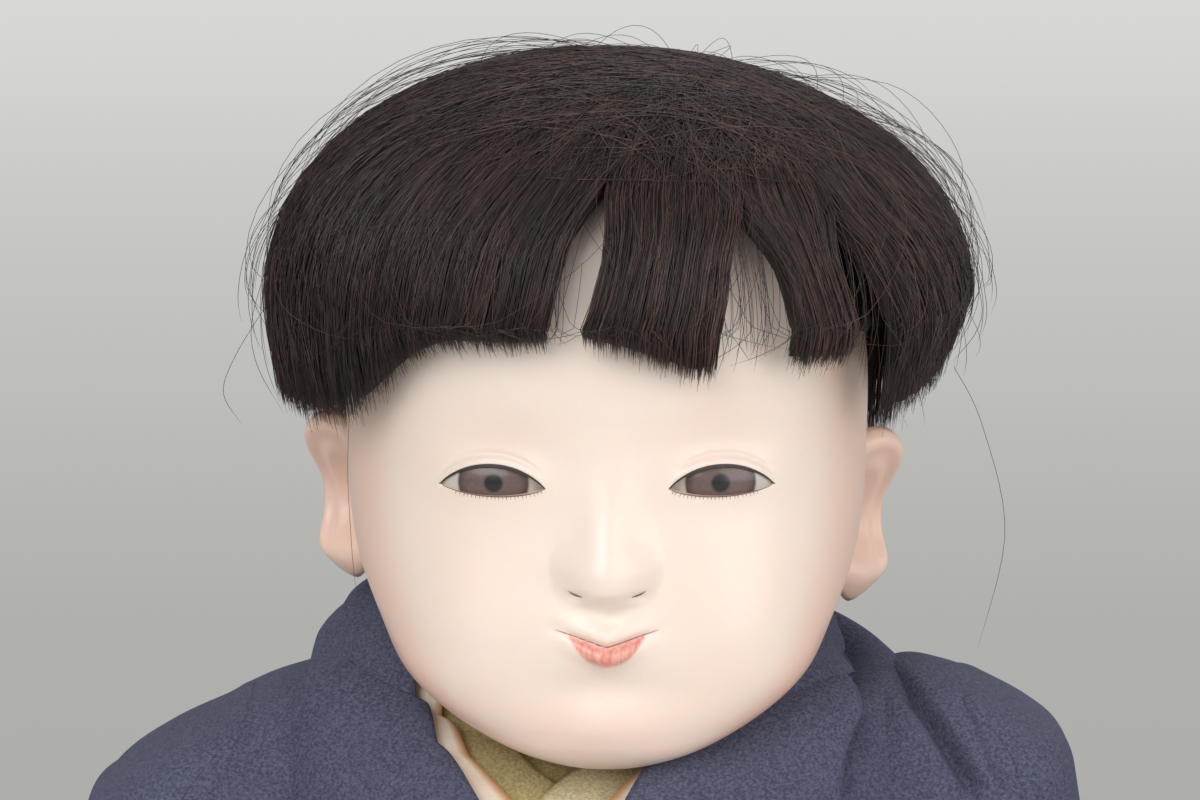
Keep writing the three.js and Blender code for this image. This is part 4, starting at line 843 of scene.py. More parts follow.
class DOLL_OT_head(Operator):
    """Builds the lacquered head with its ears, painted lines and lips, and dark strokes of painted shade at
    the nostrils and between the lips
    """
    bl_idname = "doll.head"
    bl_label = "Head"

    def execute(self, context):
        skin = skin_material()
        points, faces = build_head_skin()
        head = make_piece("head_skin", points, faces, skin, "head", "shell_lacquer")
        blush, lip = face_colours(points)
        set_attribute(head.data, "blush", blush)
        set_attribute(head.data, "lip", lip)
        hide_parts("face_shell", "skull_back")
        for side, sign in SIDES:
            points, faces = ear_points(side, sign)
            ear = make_piece(f"ear_{side}", points, faces, skin, "head", "shell_lacquer")
            set_attribute(ear.data, "blush", np.full(len(points), EAR_BLUSH))
        ink_and_nostril_shade = stroke_material("lash_ink_and_nostril_shade", context.scene.doll_skin.ink_and_nostril_shade)
        make_piece("lash_lines_and_nostril_shade", *painted_strokes(), ink_and_nostril_shade, "head", "shell_lacquer", closed=False)
        brown = stroke_material("lash_brown", LASH_BROWN)
        make_piece("lower_lashes", *lower_lashes(), brown, "head", "shell_lacquer", closed=False)
        red = stroke_material("lip_line_and_shade", tuple(LIP_LINE_SHADE * c for c in context.scene.doll_skin.lip))
        make_piece("lip_line_and_shade", *mouth_strokes(), red, "head", "shell_lacquer", closed=False)
        give_material("neck_plug", skin)
        return {"FINISHED"}


# Glass eyes
GLASS = {"half_width": 10.9, "half_height": 6.3, "depth": 6.6, "sink": 0.7, "drop": 0.45, "yaw": 14.0,
         "iris": 5.9, "pupil": 1.55}


def eye_material(name, centre):
    """Painted glass: pupil, ringed brown iris and white, under a clear coat."""
    skin = bpy.context.scene.doll_skin
    material, tree, shader = new_material(name, 0.3, Coat_Weight=0.25, Coat_Roughness=0.08)
    shift = tuple(-c * MM for c in centre)
    flat = add_node(tree, "ShaderNodeVectorMath",
                    {0: placed(tree, shift=shift), 1: (1.0, 0.0, 1.0)}, operation="MULTIPLY").outputs[0]
    reach = add_node(tree, "ShaderNodeVectorMath", {0: flat}, operation="LENGTH").outputs["Value"]
    share = maths(tree, "MULTIPLY", reach, 1 / (GLASS["iris"] * MM))
    edge = GLASS["pupil"] / GLASS["iris"]
    white = ramped(tree, share, (0.93, 0.0), (1.0, 1.0))
    pupil = ramped(tree, share, (edge * 0.8, 1.0), (edge * 1.12, 0.0))
    ring = ramped(tree, share, (0.72, 0.0), (0.95, 1.0))
    rays = noise(tree, placed(tree, shift=shift), 1900.0, 3.0)
    iris = mixed(tree, rays, rgba(skin.iris, 0.8), rgba(skin.iris, 1.5))
    iris = mixed(tree, ring, iris, rgba(skin.iris, 0.5))
    iris = mixed(tree, pupil, iris, (0.012, 0.013, 0.014, 1.0))
    sclera = mixed(tree, noise(tree, placed(tree), 300.0), (0.52, 0.48, 0.42, 1.0), (0.62, 0.58, 0.51, 1.0))
    coloured(tree, shader, mixed(tree, white, iris, sclera))
    return material


def eye_points(sign):
    """Points and faces of a glass eye, and its middle."""
    turns, rings = 96, 64
    theta = np.linspace(0, 2 * np.pi, turns, endpoint=False)
    polar = np.linspace(0.0, np.pi, rings)[:, None]
    x = GLASS["half_width"] * np.sin(polar) * np.cos(theta)
    z = GLASS["half_height"] * np.sin(polar) * np.sin(theta)
    y = -GLASS["depth"] * np.cos(polar) + 0 * theta
    yaw = math.radians(GLASS["yaw"])
    turned = np.stack([x * math.cos(yaw) - y * math.sin(yaw), x * math.sin(yaw) + y * math.cos(yaw), z], -1)
    skin = on_face(EYE["pupil"], 0.4)
    centre = np.array([EYE["pupil"], skin[1] + GLASS["sink"] + GLASS["depth"], EYE_HEIGHT - GLASS["drop"]])
    points = turned + centre
    points[..., 0] *= sign
    return points.reshape(-1, 3), grid_faces(rings, turns, wraps=True), centre * np.array([sign, 1, 1])


class DOLL_OT_eyes(Operator):
    """Sets the painted glass eyes behind the lids"""
    bl_idname = "doll.eyes"
    bl_label = "Eyes"

    def execute(self, context):
        for side, sign in SIDES:
            points, faces, centre = eye_points(sign)
            material = eye_material(f"eye_glass_{side}", centre)
            eye = make_piece(f"eye_{side}", points, faces, material, "head", "eye_glass")
            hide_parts(f"{side}_eye")
        return {"FINISHED"}


# Hair: the dome of the bowl cut and the locks it is cut into
HAIR = {"over_sides": 15.0, "over_front": 8.0, "over_back": 10.0, "crown": 65.0, "shift": 2.0,
        "widest": 26.0, "fullness": 2.35, "dome": 0.62, "tuck": 0.03}
WHORL = np.array([12.0, -9.0])
CROWN_END = 0.33
# Cut edge: angle round the head and rise above the eyes
CUT = np.array([
    (-180, -12), (-140, -12), (-105, 5), (-80, 7.6), (-58, 7.8), (-50.7, 11), (-40.6, 19.9), (-34, 22.7),
    (-9, 22.9), (-7.7, 24), (2.5, 21.8), (15, 17.8), (20, 19), (34, 19.6), (44, 19.2), (53, 8.8), (58, 8.5),
    (88, 14.5), (105, 8), (140, -12), (180, -12),
])


def closed_parting(angle):
    """A parting that stays shut."""
    return (angle,) * 5 + (0.5,)


# Partings: angle at the top, on its right and left half way, on its right and left at the cut, where it opens
PARTINGS = {
    "right": closed_parting(-55.0), "ear_left": closed_parting(125.0), "ear_right": closed_parting(-125.0),
    "nape_right": closed_parting(235.0), "whole_right": closed_parting(-180.0),
    "whole_left": closed_parting(180.0), "gap": (-5.2, -10.4, -1.9, -14.2, -7.0, 0.36),
    "middle": (25.5, 21.2, 31.0, 18.6, 33.4, 0.42), "left": (43.5, 40.4, 48.8, 43.2, 53.5, 0.43),
}
# Locks: the parting on each side, the share of the strands and how much shorter the outer hairs are
LOCKS = {
    "hair_crown": ("whole_right", "whole_left", 0.09, 0.0),
    "hair_fringe_right": ("right", "gap", 0.15, 1.5),
    "hair_fringe_middle": ("gap", "middle", 0.09, 1.0),
    "hair_fringe_left": ("middle", "left", 0.06, 1.5),
    "hair_left": ("left", "ear_left", 0.20, 9.0),
    "hair_right": ("ear_right", "right", 0.18, 3.0),
    "hair_back": ("ear_left", "nape_right", 0.26, 2.0),
}


def hair_edge(angle):
    """Rise of the cut edge at an angle."""
    turn = (np.asarray(angle) + 540) % 360 - 180
    return np.interp(turn, CUT[:, 0], CUT[:, 1])


def hair_points(angle, share, deep=0.0, drop=0.0):
    """Points on the hair: share runs from the whorl to the cut edge, deep is below the outside."""
    angle, share = np.broadcast_arrays(np.asarray(angle, float), np.asarray(share, float))
    turn = np.radians(angle)
    middle = lerp(EYES_FRONT, EYES_BACK, SECTION_MIDDLE)
    half_width = EYES_HALF_WIDTH + HAIR["over_sides"]
    polar = np.clip(share / HAIR["dome"], 0, 1) * (np.pi / 2)
    hang = np.clip((share - HAIR["dome"]) / (1 - HAIR["dome"]), 0, None)

    def reach_at(sine, cosine):
        depth = np.where(cosine > 0, middle - EYES_FRONT + HAIR["over_front"],
                         EYES_BACK - middle + HAIR["over_back"])
        full = HAIR["fullness"]
        return ((np.abs(sine) / half_width) ** full + (np.abs(cosine) / depth) ** full) ** (-1 / full)

    out = reach_at(np.sin(turn), np.cos(turn))
    radius = out * np.sin(polar)
    moved = 1 - smooth(share, 0.0, 0.5)
    px = radius * np.sin(turn) + WHORL[0] * moved
    py = -radius * np.cos(turn) + (WHORL[1] - middle) * moved
    far = np.hypot(px, py) + 1e-9
    limit = reach_at(px / far, -py / far)
    ratio = np.clip(far / limit, 0, 1)
    dome_rise = lerp(HAIR["widest"], HAIR["crown"], np.sqrt(np.clip(1 - ratio ** 2, 0, 1)))
    tuck = 1 - HAIR["tuck"] * np.clip(hang, 0, 1.2) ** 2
    rise = lerp(dome_rise, hair_edge(angle) - drop, hang)
    lean = HAIR["shift"] * smooth(share, 0, HAIR["dome"])
    points = np.stack([lean + px * tuck, middle + py * tuck, EYE_HEIGHT + rise], -1)
    inward = HEAD_CENTRE - points
    inward[..., 2] *= 1 - 0.85 * np.clip(hang, 0, 1)
    inward /= np.linalg.norm(inward, axis=-1, keepdims=True)
    return points + inward * np.asarray(deep)[..., None]


def tube_faces(strands, along_count, sides):
    """Quads of many tubes with the same number of rings."""
    base = np.arange(strands)[:, None, None] * (along_count * sides)
    ring = np.arange(along_count - 1)[None, :, None] * sides
    s = np.arange(sides)[None, None, :]
    n = (s + 1) % sides
    a = base + ring + s
    b = base + ring + n
    return np.stack([a, b, b + sides, a + sides], -1).reshape(-1, 4)


def strand_mesh(paths, radius):
    """Three-sided strands along paths, thin at their tips."""
    tangent = np.gradient(paths, axis=1)
    tangent /= np.linalg.norm(tangent, axis=-1, keepdims=True) + 1e-9
    out = paths - HEAD_CENTRE
    side = np.cross(tangent, out)
    side /= np.linalg.norm(side, axis=-1, keepdims=True) + 1e-9
    out = np.cross(side, tangent)
    taper = 1 - 0.75 * smooth(np.linspace(0, 1, paths.shape[1]), 0.75, 1.0)
    size = radius[:, None, None] * taper[None, :, None]
    rings = [paths + size * (math.cos(a) * out + math.sin(a) * side) for a in np.radians([90, 210, 330])]
    points = np.stack(rings, 2)
    return points.reshape(-1, 3), tube_faces(paths.shape[0], paths.shape[1], 3)


def lock_angles(name, u, share):
    """Angle of a place between the two partings of a lock."""
    right, left = LOCKS[name][:2]

    def parting(which, half, end):
        opens = PARTINGS[which][5]
        places = (opens, lerp(opens, HAIR["dome"], 0.45), HAIR["dome"] + 0.02)
        angles = [PARTINGS[which][column] for column in (0, half, end)]
        return np.interp(share, places, angles)
    return lerp(parting(right, 2, 4), parting(left, 1, 3), u)


def each(rng, count, low, high):
    """An even random value for each strand."""
    return rng.uniform(low, high, count)[:, None]


def scatter(rng, count, width):
    """A random value for each strand, mostly near 0."""
    return rng.normal(0, width, count)[:, None]


STRAND_POINTS, STRAY_POINTS = 13, 14
# Share of loose strands and size of the strands' wave, in the fringe and elsewhere
LOOSE_SHARE = {True: 0.03, False: 0.14}
WAVE_SIZE = {True: 0.4, False: 1.0}
STRANDS_IN_CLUMP = 45
LOCK_DEPTH = 4.2


def lock_strands(name, count, rng):
    """Paths of the strands of one lock."""
    shorter = LOCKS[name][3]
    fringe = "fringe" in name
    u = each(rng, count, 0, 1)
    clumps = max(3, int(count / STRANDS_IN_CLUMP))
    middle = (np.floor(u * clumps) + 0.5) / clumps
    first = each(rng, count, 0.06, 0.32)
    last = 1.0 + scatter(rng, count, 0.018)
    share = lerp(first, last, np.linspace(0, 1, STRAND_POINTS)[None, :])
    pull = 0.45 * each(rng, count, 0.1, 1) * smooth(share, 0.45, 1.0)
    along_u = lerp(u, middle, pull)
    loose = np.where(each(rng, count, 0, 1) < LOOSE_SHARE[fringe], 4.0, 1.0)
    span = np.abs(lock_angles(name, 1.0, 0.8) - lock_angles(name, 0.0, 0.8))
    calm = lerp(0.3, 1.0, smooth(np.minimum(u, 1 - u) * span, 1, 12))
    size = WAVE_SIZE[fringe] * calm * loose * each(rng, count, 0.3, 2.2)
    wave = size * np.sin(2 * np.pi * (each(rng, count, 0.3, 1.1) * share + each(rng, count, 0, 1)))
    wave = wave * smooth(share, 0.03, 0.3) * (1 - 0.62 * smooth(share, 0.5, 1))
    swirl = scatter(rng, count, 34) * (1 - smooth(share, 0.0, 0.34))
    drift = calm * np.where(loose > 1, scatter(rng, count, 7), 0.0) * (share - 0.35)
    angle = swirl + drift + lock_angles(name, along_u, share) + wave
    out = each(rng, count, 0, 1) ** 1.5
    deep = out * LOCK_DEPTH + 0.35 * np.sin(7 * share + u * 40) - 0.25 * (loose - 1) * each(rng, count, 0, 1)
    drop = scatter(rng, count, 1.0) - shorter * (1 - out) ** 1.5 + np.zeros_like(share)
    return hair_points(angle, share, np.maximum(deep, -1.2), drop)


def crown_strands(count, rng):
    """Paths that cross the top of the head, most of them from side to side."""
    t = lerp(-1.0, 1.0, np.linspace(0, 1, STRAND_POINTS))[None, :]
    across = t * each(rng, count, 0.16, CROWN_END) + each(rng, count, -0.06, 0.06)
    beside = scatter(rng, count, 0.13) + each(rng, count, -0.05, 0.05) * np.sin(6 * across)
    heading = 90 + scatter(rng, count, 26)
    share = np.minimum(np.hypot(across, beside), CROWN_END + 0.03)
    angle = heading + np.degrees(np.arctan2(beside, across))
    return hair_points(angle, share, each(rng, count, -0.4, 2.0) + 0 * share)


def lock_body(name):
    """A dark solid under the strands of a lock, so that no light comes through; its dark colour is painted
    shade.
    """
    columns = 96 if name == "hair_crown" else 48
    u, v = np.meshgrid(np.linspace(0, 1, columns), np.linspace(0, 1, 40))
    last = CROWN_END if name == "hair_crown" else 0.95
    share = lerp(0.02, last, v)
    angle = lock_angles(name, lerp(0.5, u, lerp(1.0, 0.93, smooth(share, 0.5, 1))), share)
    ripple = 0.35 * np.sin(u * 90) * smooth(share, 0.1, 0.4)
    thin = smooth(share, 0.75, 1.0)
    outer = hair_points(angle, share, 2.4 + ripple + thin)
    inner = hair_points(angle, share, lerp(4.8, 4.0, v))
    return sheet_grid(outer, inner)


# Wisps in the gaps of the fringe: from and to an angle, and how many
WISPS = ((-14.0, -7.0, 7), (19.0, 33.0, 26), (43.0, 51.0, 16))
STRAYS = 420


def wisps(rng):
    """Thin hairs that cross the gaps between the locks of the fringe."""
    t = np.linspace(0, 1, STRAY_POINTS)[None, :]
    paths = []
    for low, high, count in WISPS:
        angle = each(rng, count, low, high) + scatter(rng, count, 3.0) * (t - 0.5)
        share = lerp(0.34, each(rng, count, 0.8, 1.06), t)
        paths.append(hair_points(angle, share, each(rng, count, 0.5, 3.5) + 0 * t))
    return np.concatenate(paths)


def stray_strands(rng):
    """Loose hairs that stand off the wig."""
    start = each(rng, STRAYS, -180, 180)
    t = np.linspace(0, 1, STRAY_POINTS)[None, :]
    first = each(rng, STRAYS, 0.02, 0.55)
    share = lerp(first, first + each(rng, STRAYS, 0.2, 0.5), t)
    angle = start + scatter(rng, STRAYS, 16) * t ** 1.5
    height = each(rng, STRAYS, 0.3, 5.5)
    lift = -height * np.sin(np.pi * np.clip(t * each(rng, STRAYS, 0.6, 1.1), 0, 1))
    return hair_points(angle, np.clip(share, 0, 1.04), lift)


# A few long loose hairs, each through four points
LONG_STRAYS = (
    ((57.5, -8, 399), (62, -10, 390), (66, -12, 372), (61.5, -15, 353)),
    ((-56, -12, 410), (-61, -14, 402), (-63, -16, 396), (-60, -17, 391)),
    ((-41.5, -34, 396), (-41.8, -35, 386), (-41.2, -36, 374), (-40.6, -34, 366)),
    ((20, -30, 448), (40, -32, 450), (50, -30, 442), (52, -28, 432)),
    ((24, -26, 449), (46, -28, 448), (57, -27, 436), (55, -25, 424)),
)


def long_strays():
    """Paths of the long loose hairs."""
    t = np.linspace(0, 3, 20)
    return np.stack([along(np.array(line, float), t) for line in LONG_STRAYS])


# Edge of the cap above the eyes: in front, at the sides and behind; its two faces over the skull
CAP_FRONT, CAP_SIDE, CAP_BACK = 48.0, 20.0, -4.0
CAP_OUTSIDE, CAP_INSIDE = 1.4, 0.6


def scalp_cap():
    """Cloth over the skull under the hair, above a high hairline in front, dark with the painted shade of the
    hair under the strands.
    """
    u, v = np.meshgrid(np.linspace(-180, 180, 97)[:-1], np.linspace(0, 1, 24))
    side = lerp(CAP_SIDE, CAP_BACK, smooth(np.abs(u), 90, 150))
    edge = lerp(CAP_FRONT, side, smooth(np.abs(u), 30, 75))
    top = HEAD_TABLE[-1, 0]
    arc = lerp(top - 0.5, arc_at(edge), v)
    points = head_points(u, arc)
    out = points - HEAD_CENTRE
    out /= np.linalg.norm(out, axis=-1, keepdims=True)
    return sheet_grid(points + CAP_OUTSIDE * out, points + CAP_INSIDE * out, wraps=True)


def hair_piece(name, paths, radius, material, rng):
    """A piece of strands, each with a tone of its own."""
    piece = make_piece(name, *strand_mesh(paths, radius), material, "head", "hair", closed=False)
    tone = rng.uniform(0, 1, len(paths))
    set_attribute(piece.data, "tone", np.repeat(tone, paths.shape[1] * 3))
    return piece


# Hair under the strands: how much darker it is as painted shade, and how matt; and how thin the loose hairs
# are
UNDER_SHADE, UNDER_ROUGHNESS, STRAY_THIN = 0.6, 0.7, 0.6


class DOLL_OT_hair(Operator):
    """Grows the bowl-cut wig strand by strand on its cap"""
    bl_idname = "doll.hair"
    bl_label = "Hair"

    def execute(self, context):
        hair = context.scene.doll_hair
        rng = np.random.default_rng(11)
        strands = hair_material("hair_strands", hair.colour)
        # The locks' bodies and the cap take the hair colour made darker: painted shade under the strands.
        under = hair_material("hair_under_shade", tuple(UNDER_SHADE * c for c in hair.colour), UNDER_ROUGHNESS)
        for name, lock in LOCKS.items():
            count = int(hair.strands * lock[2])
            paths = crown_strands(count, rng) if name == "hair_crown" else lock_strands(name, count, rng)
            radius = hair.thickness / MM * rng.uniform(0.7, 1.25, len(paths))
            piece = hair_piece(f"{name}_strands", paths, radius, strands, rng)
            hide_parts(name)
            make_piece(f"{name}_body", *lock_body(name), under, "head", "hair")
        paths = np.concatenate([wisps(rng), stray_strands(rng)])
        thin = hair.thickness / MM * STRAY_THIN
        hair_piece("hair_strays", paths, np.full(len(paths), thin), strands, rng)
        paths = long_strays()
        hair_piece("hair_long_strays", paths, np.full(len(paths), thin), strands, rng)
        cap = make_piece("wig_cap_cloth", *scalp_cap(), under, "head", "cap_cloth")
        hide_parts("wig_cap")
        return {"FINISHED"}


# The body under the clothes, by levels: height, half width, half depth, middle in y, fall towards the front
BODY = np.array([
    (353, 33, 25, 6, 0.34), (347, 41.5, 25.7, 6, 0.36), (342, 48, 29, 4, 0.30), (327, 51.5, 35, 2, 0.08),
    (299, 50, 36, 0, 0), (246, 46, 36, 0, 0), (168, 50.5, 42, 0, 0), (0, 60, 52, 0, 0),
], float)
CHEST, WAIST, HEM = 4, 5, 7
BODY_FULLNESS = 2.3
CLOTH, THIN_CLOTH, LAYER_GAP = 1.2, 0.8, 1.05
INNER_PANEL = THIN_CLOTH + LAYER_GAP
OUTER_PANEL = INNER_PANEL + CLOTH + LAYER_GAP
SASH_LAYER = OUTER_PANEL + CLOTH + LAYER_GAP
SASH_TOP, SASH_BOTTOM, SASH_THICKNESS = 266.0, 226.0, 2.6
OVERLAP_SEAM = 30.0
HEM_LIFT = 22.0
# The collar hangs lower on the doll's left, and the plate's rim under it from this height up
SAG = {"depth": 7.6, "angle": 98.0, "spread": 46.0}
PLATE_SHOULDER = 334.0


def cloth_folds(turn, level):
    """Soft folds that every layer of the clothes shares."""
    skirt = smooth(level, WAIST + 0.4, HEM)
    slow = 2.0 * skirt * np.cos(6 * turn)
    fine = 0.55 * skirt * np.cos(13 * turn + 0.8 * level) + 0.35 * skirt * np.cos(21 * turn - level)
    blouse = smooth(level, CHEST - 0.4, CHEST + 0.3) * smooth(-level, -WAIST + 0.12, -CHEST - 0.3)
    drawn = 0.5 * blouse * np.cos(9 * turn + 5 * level)
    return slow + fine + drawn


def side_sag(angle):
    """How far the neck opening hangs down at an angle."""
    return SAG["depth"] * bell(angle - SAG["angle"], SAG["spread"])


def body_points(angle, level):
    """Points of the body's surface: angle from the front, level counted in rows of the table."""
    rows = along(BODY, np.maximum(level, 0)) + 0.5 * np.minimum(level, 0)[..., None] * (BODY[1] - BODY[0])
    height, half_width, half_depth, middle, fall = np.moveaxis(rows, -1, 0)
    turn = np.radians(angle)
    across = power(np.sin(turn), 2 / BODY_FULLNESS)
    ahead = power(np.cos(turn), 2 / BODY_FULLNESS)
    fold = cloth_folds(turn, level)
    forward = half_depth * ahead + fold * np.cos(turn)
    sag = side_sag(angle) * smooth(-level, -2.3, -0.6)
    x = half_width * across + fold * np.sin(turn)
    return np.stack([x, middle - forward, height - fall * forward - sag], -1)


def drape(angle, level, distance):
    """The body's surface moved out by a distance, level below the chest."""
    angle, level, distance = np.broadcast_arrays(*(np.asarray(a, float) for a in (angle, level, distance)))
    step = 0.02
    place = np.clip(level, step, HEM - step)
    around = body_points(angle + 1, place) - body_points(angle - 1, place)
    down = body_points(angle, place + step) - body_points(angle, place - step)
    out = np.cross(down, around)
    out /= np.linalg.norm(out, axis=-1, keepdims=True)
    out[..., 2] *= 1 - smooth(level, CHEST - 0.5, CHEST + 0.5)
    out /= np.linalg.norm(out, axis=-1, keepdims=True)
    return body_points(angle, level) + out * distance[..., None]


LEVELS = np.linspace(CHEST, HEM, 1200)
LEVEL_HEIGHTS = along(BODY, LEVELS)[:, 0]


def level_at(height):
    """Level of the body at a height below the chest."""
    return np.interp(-np.asarray(height, float), -LEVEL_HEIGHTS, LEVELS)


# Collar edges: angle and level from the nape to the front, for each half
COLLAR = {
    "right": {
        "inner": np.array([(-180, 0.3), (-113, 0.3), (-76, 0.14), (-50, 0.34), (-36, 1.5), (-20, 2.72),
                           (0, 3.6)]),
        "outer": np.array([(-180, 1.75), (-115, 1.75), (-86, 1.8), (-74, 2.1), (-60, 3.3), (-46, 3.85),
                           (-33, 4.25)]),
    },
    "left": {
        "inner": np.array([(180, 0.3), (124, 0.1), (90, -0.35), (58, -0.45), (24, 0.85), (-7, 3.5),
                           (-32, 4.3)]),
        "outer": np.array([(180, 1.85), (124, 1.2), (84, 0.5), (60, 1.6), (44, 2.4), (28, 3.6), (-2, 4.5)]),
    },
}
# How far the collars lie from the body, in front and at the nape
COLLAR_ROOM = 0.6
COLLAR_STEP = THIN_CLOTH + COLLAR_ROOM
UNDER_COLLAR = INNER_PANEL
CREAM_COLLAR = UNDER_COLLAR + 2 * COLLAR_STEP
KIMONO_COLLAR = CREAM_COLLAR + 2 * COLLAR_STEP
# Where a panel starts across the band that covers it
PANEL_START = 0.84
NAPE_GAP = 0.75
CREAM_NAPE = UNDER_COLLAR + THIN_CLOTH + NAPE_GAP
KIMONO_NAPE = CREAM_NAPE + THIN_CLOTH + NAPE_GAP
BAND_SEAT = INNER_PANEL + CLOTH + NAPE_GAP
# The navy band: its thickness and how far its left half stands over its right
BAND_CLOTH, BAND_STEP = 1.6, 2.0
# How far the inner collars reach across the band, and along it to the front
INNER_COLLAR_END = 0.62
INNER_FRONT_END = {"right": 1.0, "left": 0.84}
# Where the inner collars start across the band, at the nape and in front
UNDER_START = {"right": (-0.1, -0.45), "left": (0.14, -0.36)}
CREAM_START = {"right": (-0.06, -0.14), "left": (0.1, -0.07)}
# Where along the band the one start turns into the other
INNER_TURN = {"right": (0.35, 0.58), "left": (0.58, 0.72)}
# How much narrower the inner collars are past the nape
INNER_NARROW = {"right": 0.0, "left": 0.12}


def collar_place(side, t, share):
    """Angle and level on a collar: t from the nape to the front, share from the inner to the outer edge."""
    ends = COLLAR[side]
    at = np.asarray(t, float) * (len(ends["inner"]) - 1)
    place = lerp(along(ends["inner"], at), along(ends["outer"], at), np.asarray(share, float)[..., None])
    return place[..., 0], place[..., 1]


def collar_sheet(side, first, last, layers, thickness, step, end=1.0, columns=150, rows=26):
    """Outer and inner grids of half a collar, rounded at its folded edges."""
    t, s = np.meshgrid(lerp(0.004, end, edged(columns, 0.004)), edged(rows, 0.03))
    start = lerp(first[0], first[1], smooth(t, *INNER_TURN[side]))
    stop = last if last == 1.0 else last - INNER_NARROW[side] * smooth(t, 0.05, 0.25)
    angle, level = collar_place(side, t, lerp(start, stop, s))
    front, nape, edge = layers
    inside = lerp(lerp(nape, edge, smooth(s, 0.45, 0.85)), front, smooth(t, 0.26, 0.56))
    rise = (step if side == "left" else 0.0) * smooth(t, 0.25, 0.6)
    round_edge = np.sqrt(np.clip(1 - np.abs(2 * s - 1) ** 6, 0, 1)) * 0.8 + 0.2
    crown = 0.35 * thickness * np.sin(np.pi * s) ** 0.8
    half = thickness / 2
    outer = drape(angle, level, inside + rise + half + half * round_edge + crown)
    inner = drape(angle, level, inside + rise + half - half * round_edge)
    return outer, inner, s


def panel_top(side, angle):
    """Level where a panel of the kimono starts, under the collar band."""
    sign = 1.0 if side == "left" else -1.0
    t = np.linspace(0, 1, 800)
    at, level = collar_place(side, t, np.full_like(t, PANEL_START))
    return np.interp(sign * np.asarray(angle, float), (sign * at)[::-1], level[::-1])


def hem_level(angle):
    """Level of the kimono's hem, which lifts in front."""
    return level_at(HEM_LIFT * smooth(np.cos(np.radians(angle)), 0.1, 0.75))


def panel_grid(side, first, last, raised, columns, rows=220):
    """Outer and inner grids of a panel of the kimono between two angles."""
    u, v = np.meshgrid(edged(columns, 0.006), edged(rows, 0.003))
    angle = lerp(first, last, u)
    level = lerp(panel_top(side, angle), hem_level(angle), v)
    lift = raised * smooth(np.cos(np.radians(angle)), -0.35, 0.2)
    sides = smooth(u, 0, 0.006) * smooth(-u, -1, -0.994)
    ends = smooth(v, 0, 0.003) * smooth(-v, -1, -0.997)
    rim = np.minimum(sides, ends)
    half = CLOTH / 2 * lerp(0.25, 1.0, rim)
    base = INNER_PANEL + lift + CLOTH / 2
    return drape(angle, level, base + half), drape(angle, level, base - half)


def cloth_piece(name, outer, inner, material, body, slot, nodes, wraps=False):
    """A sheet of cloth that stands for CAD nodes."""
    points, faces = sheet_grid(outer, inner, wraps)
    piece = make_piece(name, points, faces, material, body, slot)
    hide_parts(*nodes)
    return piece


def give_way(piece):
    """Bakes the placing of a piece of cloth into its points."""
    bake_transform(piece)


class DOLL_OT_collars(Operator):
    """Lays the three pairs of collars across the chest, left over right"""
    bl_idname = "doll.collars"
    bl_label = "Collars"

    def execute(self, context):
        cloth = context.scene.doll_cloth
        cream = silk_material("collar_silk", cloth.cream, cloth.tan, "fold_edge")
        ribbed = crepe_material("ribbed_crepe", cloth.ribbed, 0.25, 0.0005)
        for side, _ in SIDES:
            end = INNER_FRONT_END[side]
            outer, inner, _ = collar_sheet(side, UNDER_START[side], INNER_COLLAR_END, (UNDER_COLLAR,) * 3,
                                           THIN_CLOTH, COLLAR_STEP, end)
            crepe = ribbed if side == "left" else green_crepe()
            under = cloth_piece(f"under_collar_{side}_crepe", outer, inner, crepe, None, "green_crepe",
                                [f"under_collar_{side}"])
            layers = (CREAM_COLLAR, CREAM_NAPE, CREAM_NAPE)
            outer, inner, s = collar_sheet(side, CREAM_START[side], INNER_COLLAR_END, layers,
                                           THIN_CLOTH, COLLAR_STEP, end)
            silk = cloth_piece(f"cream_collar_{side}_silk", outer, inner, cream, None, "cream_silk",
                               [f"cream_collar_{side}"])
            edge = smooth(-s, -0.06, -0.02)
            set_attribute(silk.data, "fold_edge", np.concatenate([edge.ravel(), edge.ravel()]))
            layers = (KIMONO_COLLAR, KIMONO_NAPE, BAND_SEAT)
            outer, inner, _ = collar_sheet(side, (0.0, 0.0), 1.0, layers, BAND_CLOTH, BAND_STEP)
            band = cloth_piece(f"kimono_collar_{side}_crepe", outer, inner, navy_crepe(), None, "navy_crepe",
                               [f"kimono_collar_{side}"])
            for piece in (under, silk, band):
                give_way(piece)
        return {"FINISHED"}


# Gaps in degrees between the panels at the overlaps, and where they meet at the back
SEAM, BACK_SEAM = 0.5, 0.03
UNDER_HEM_LIFT = 8.0


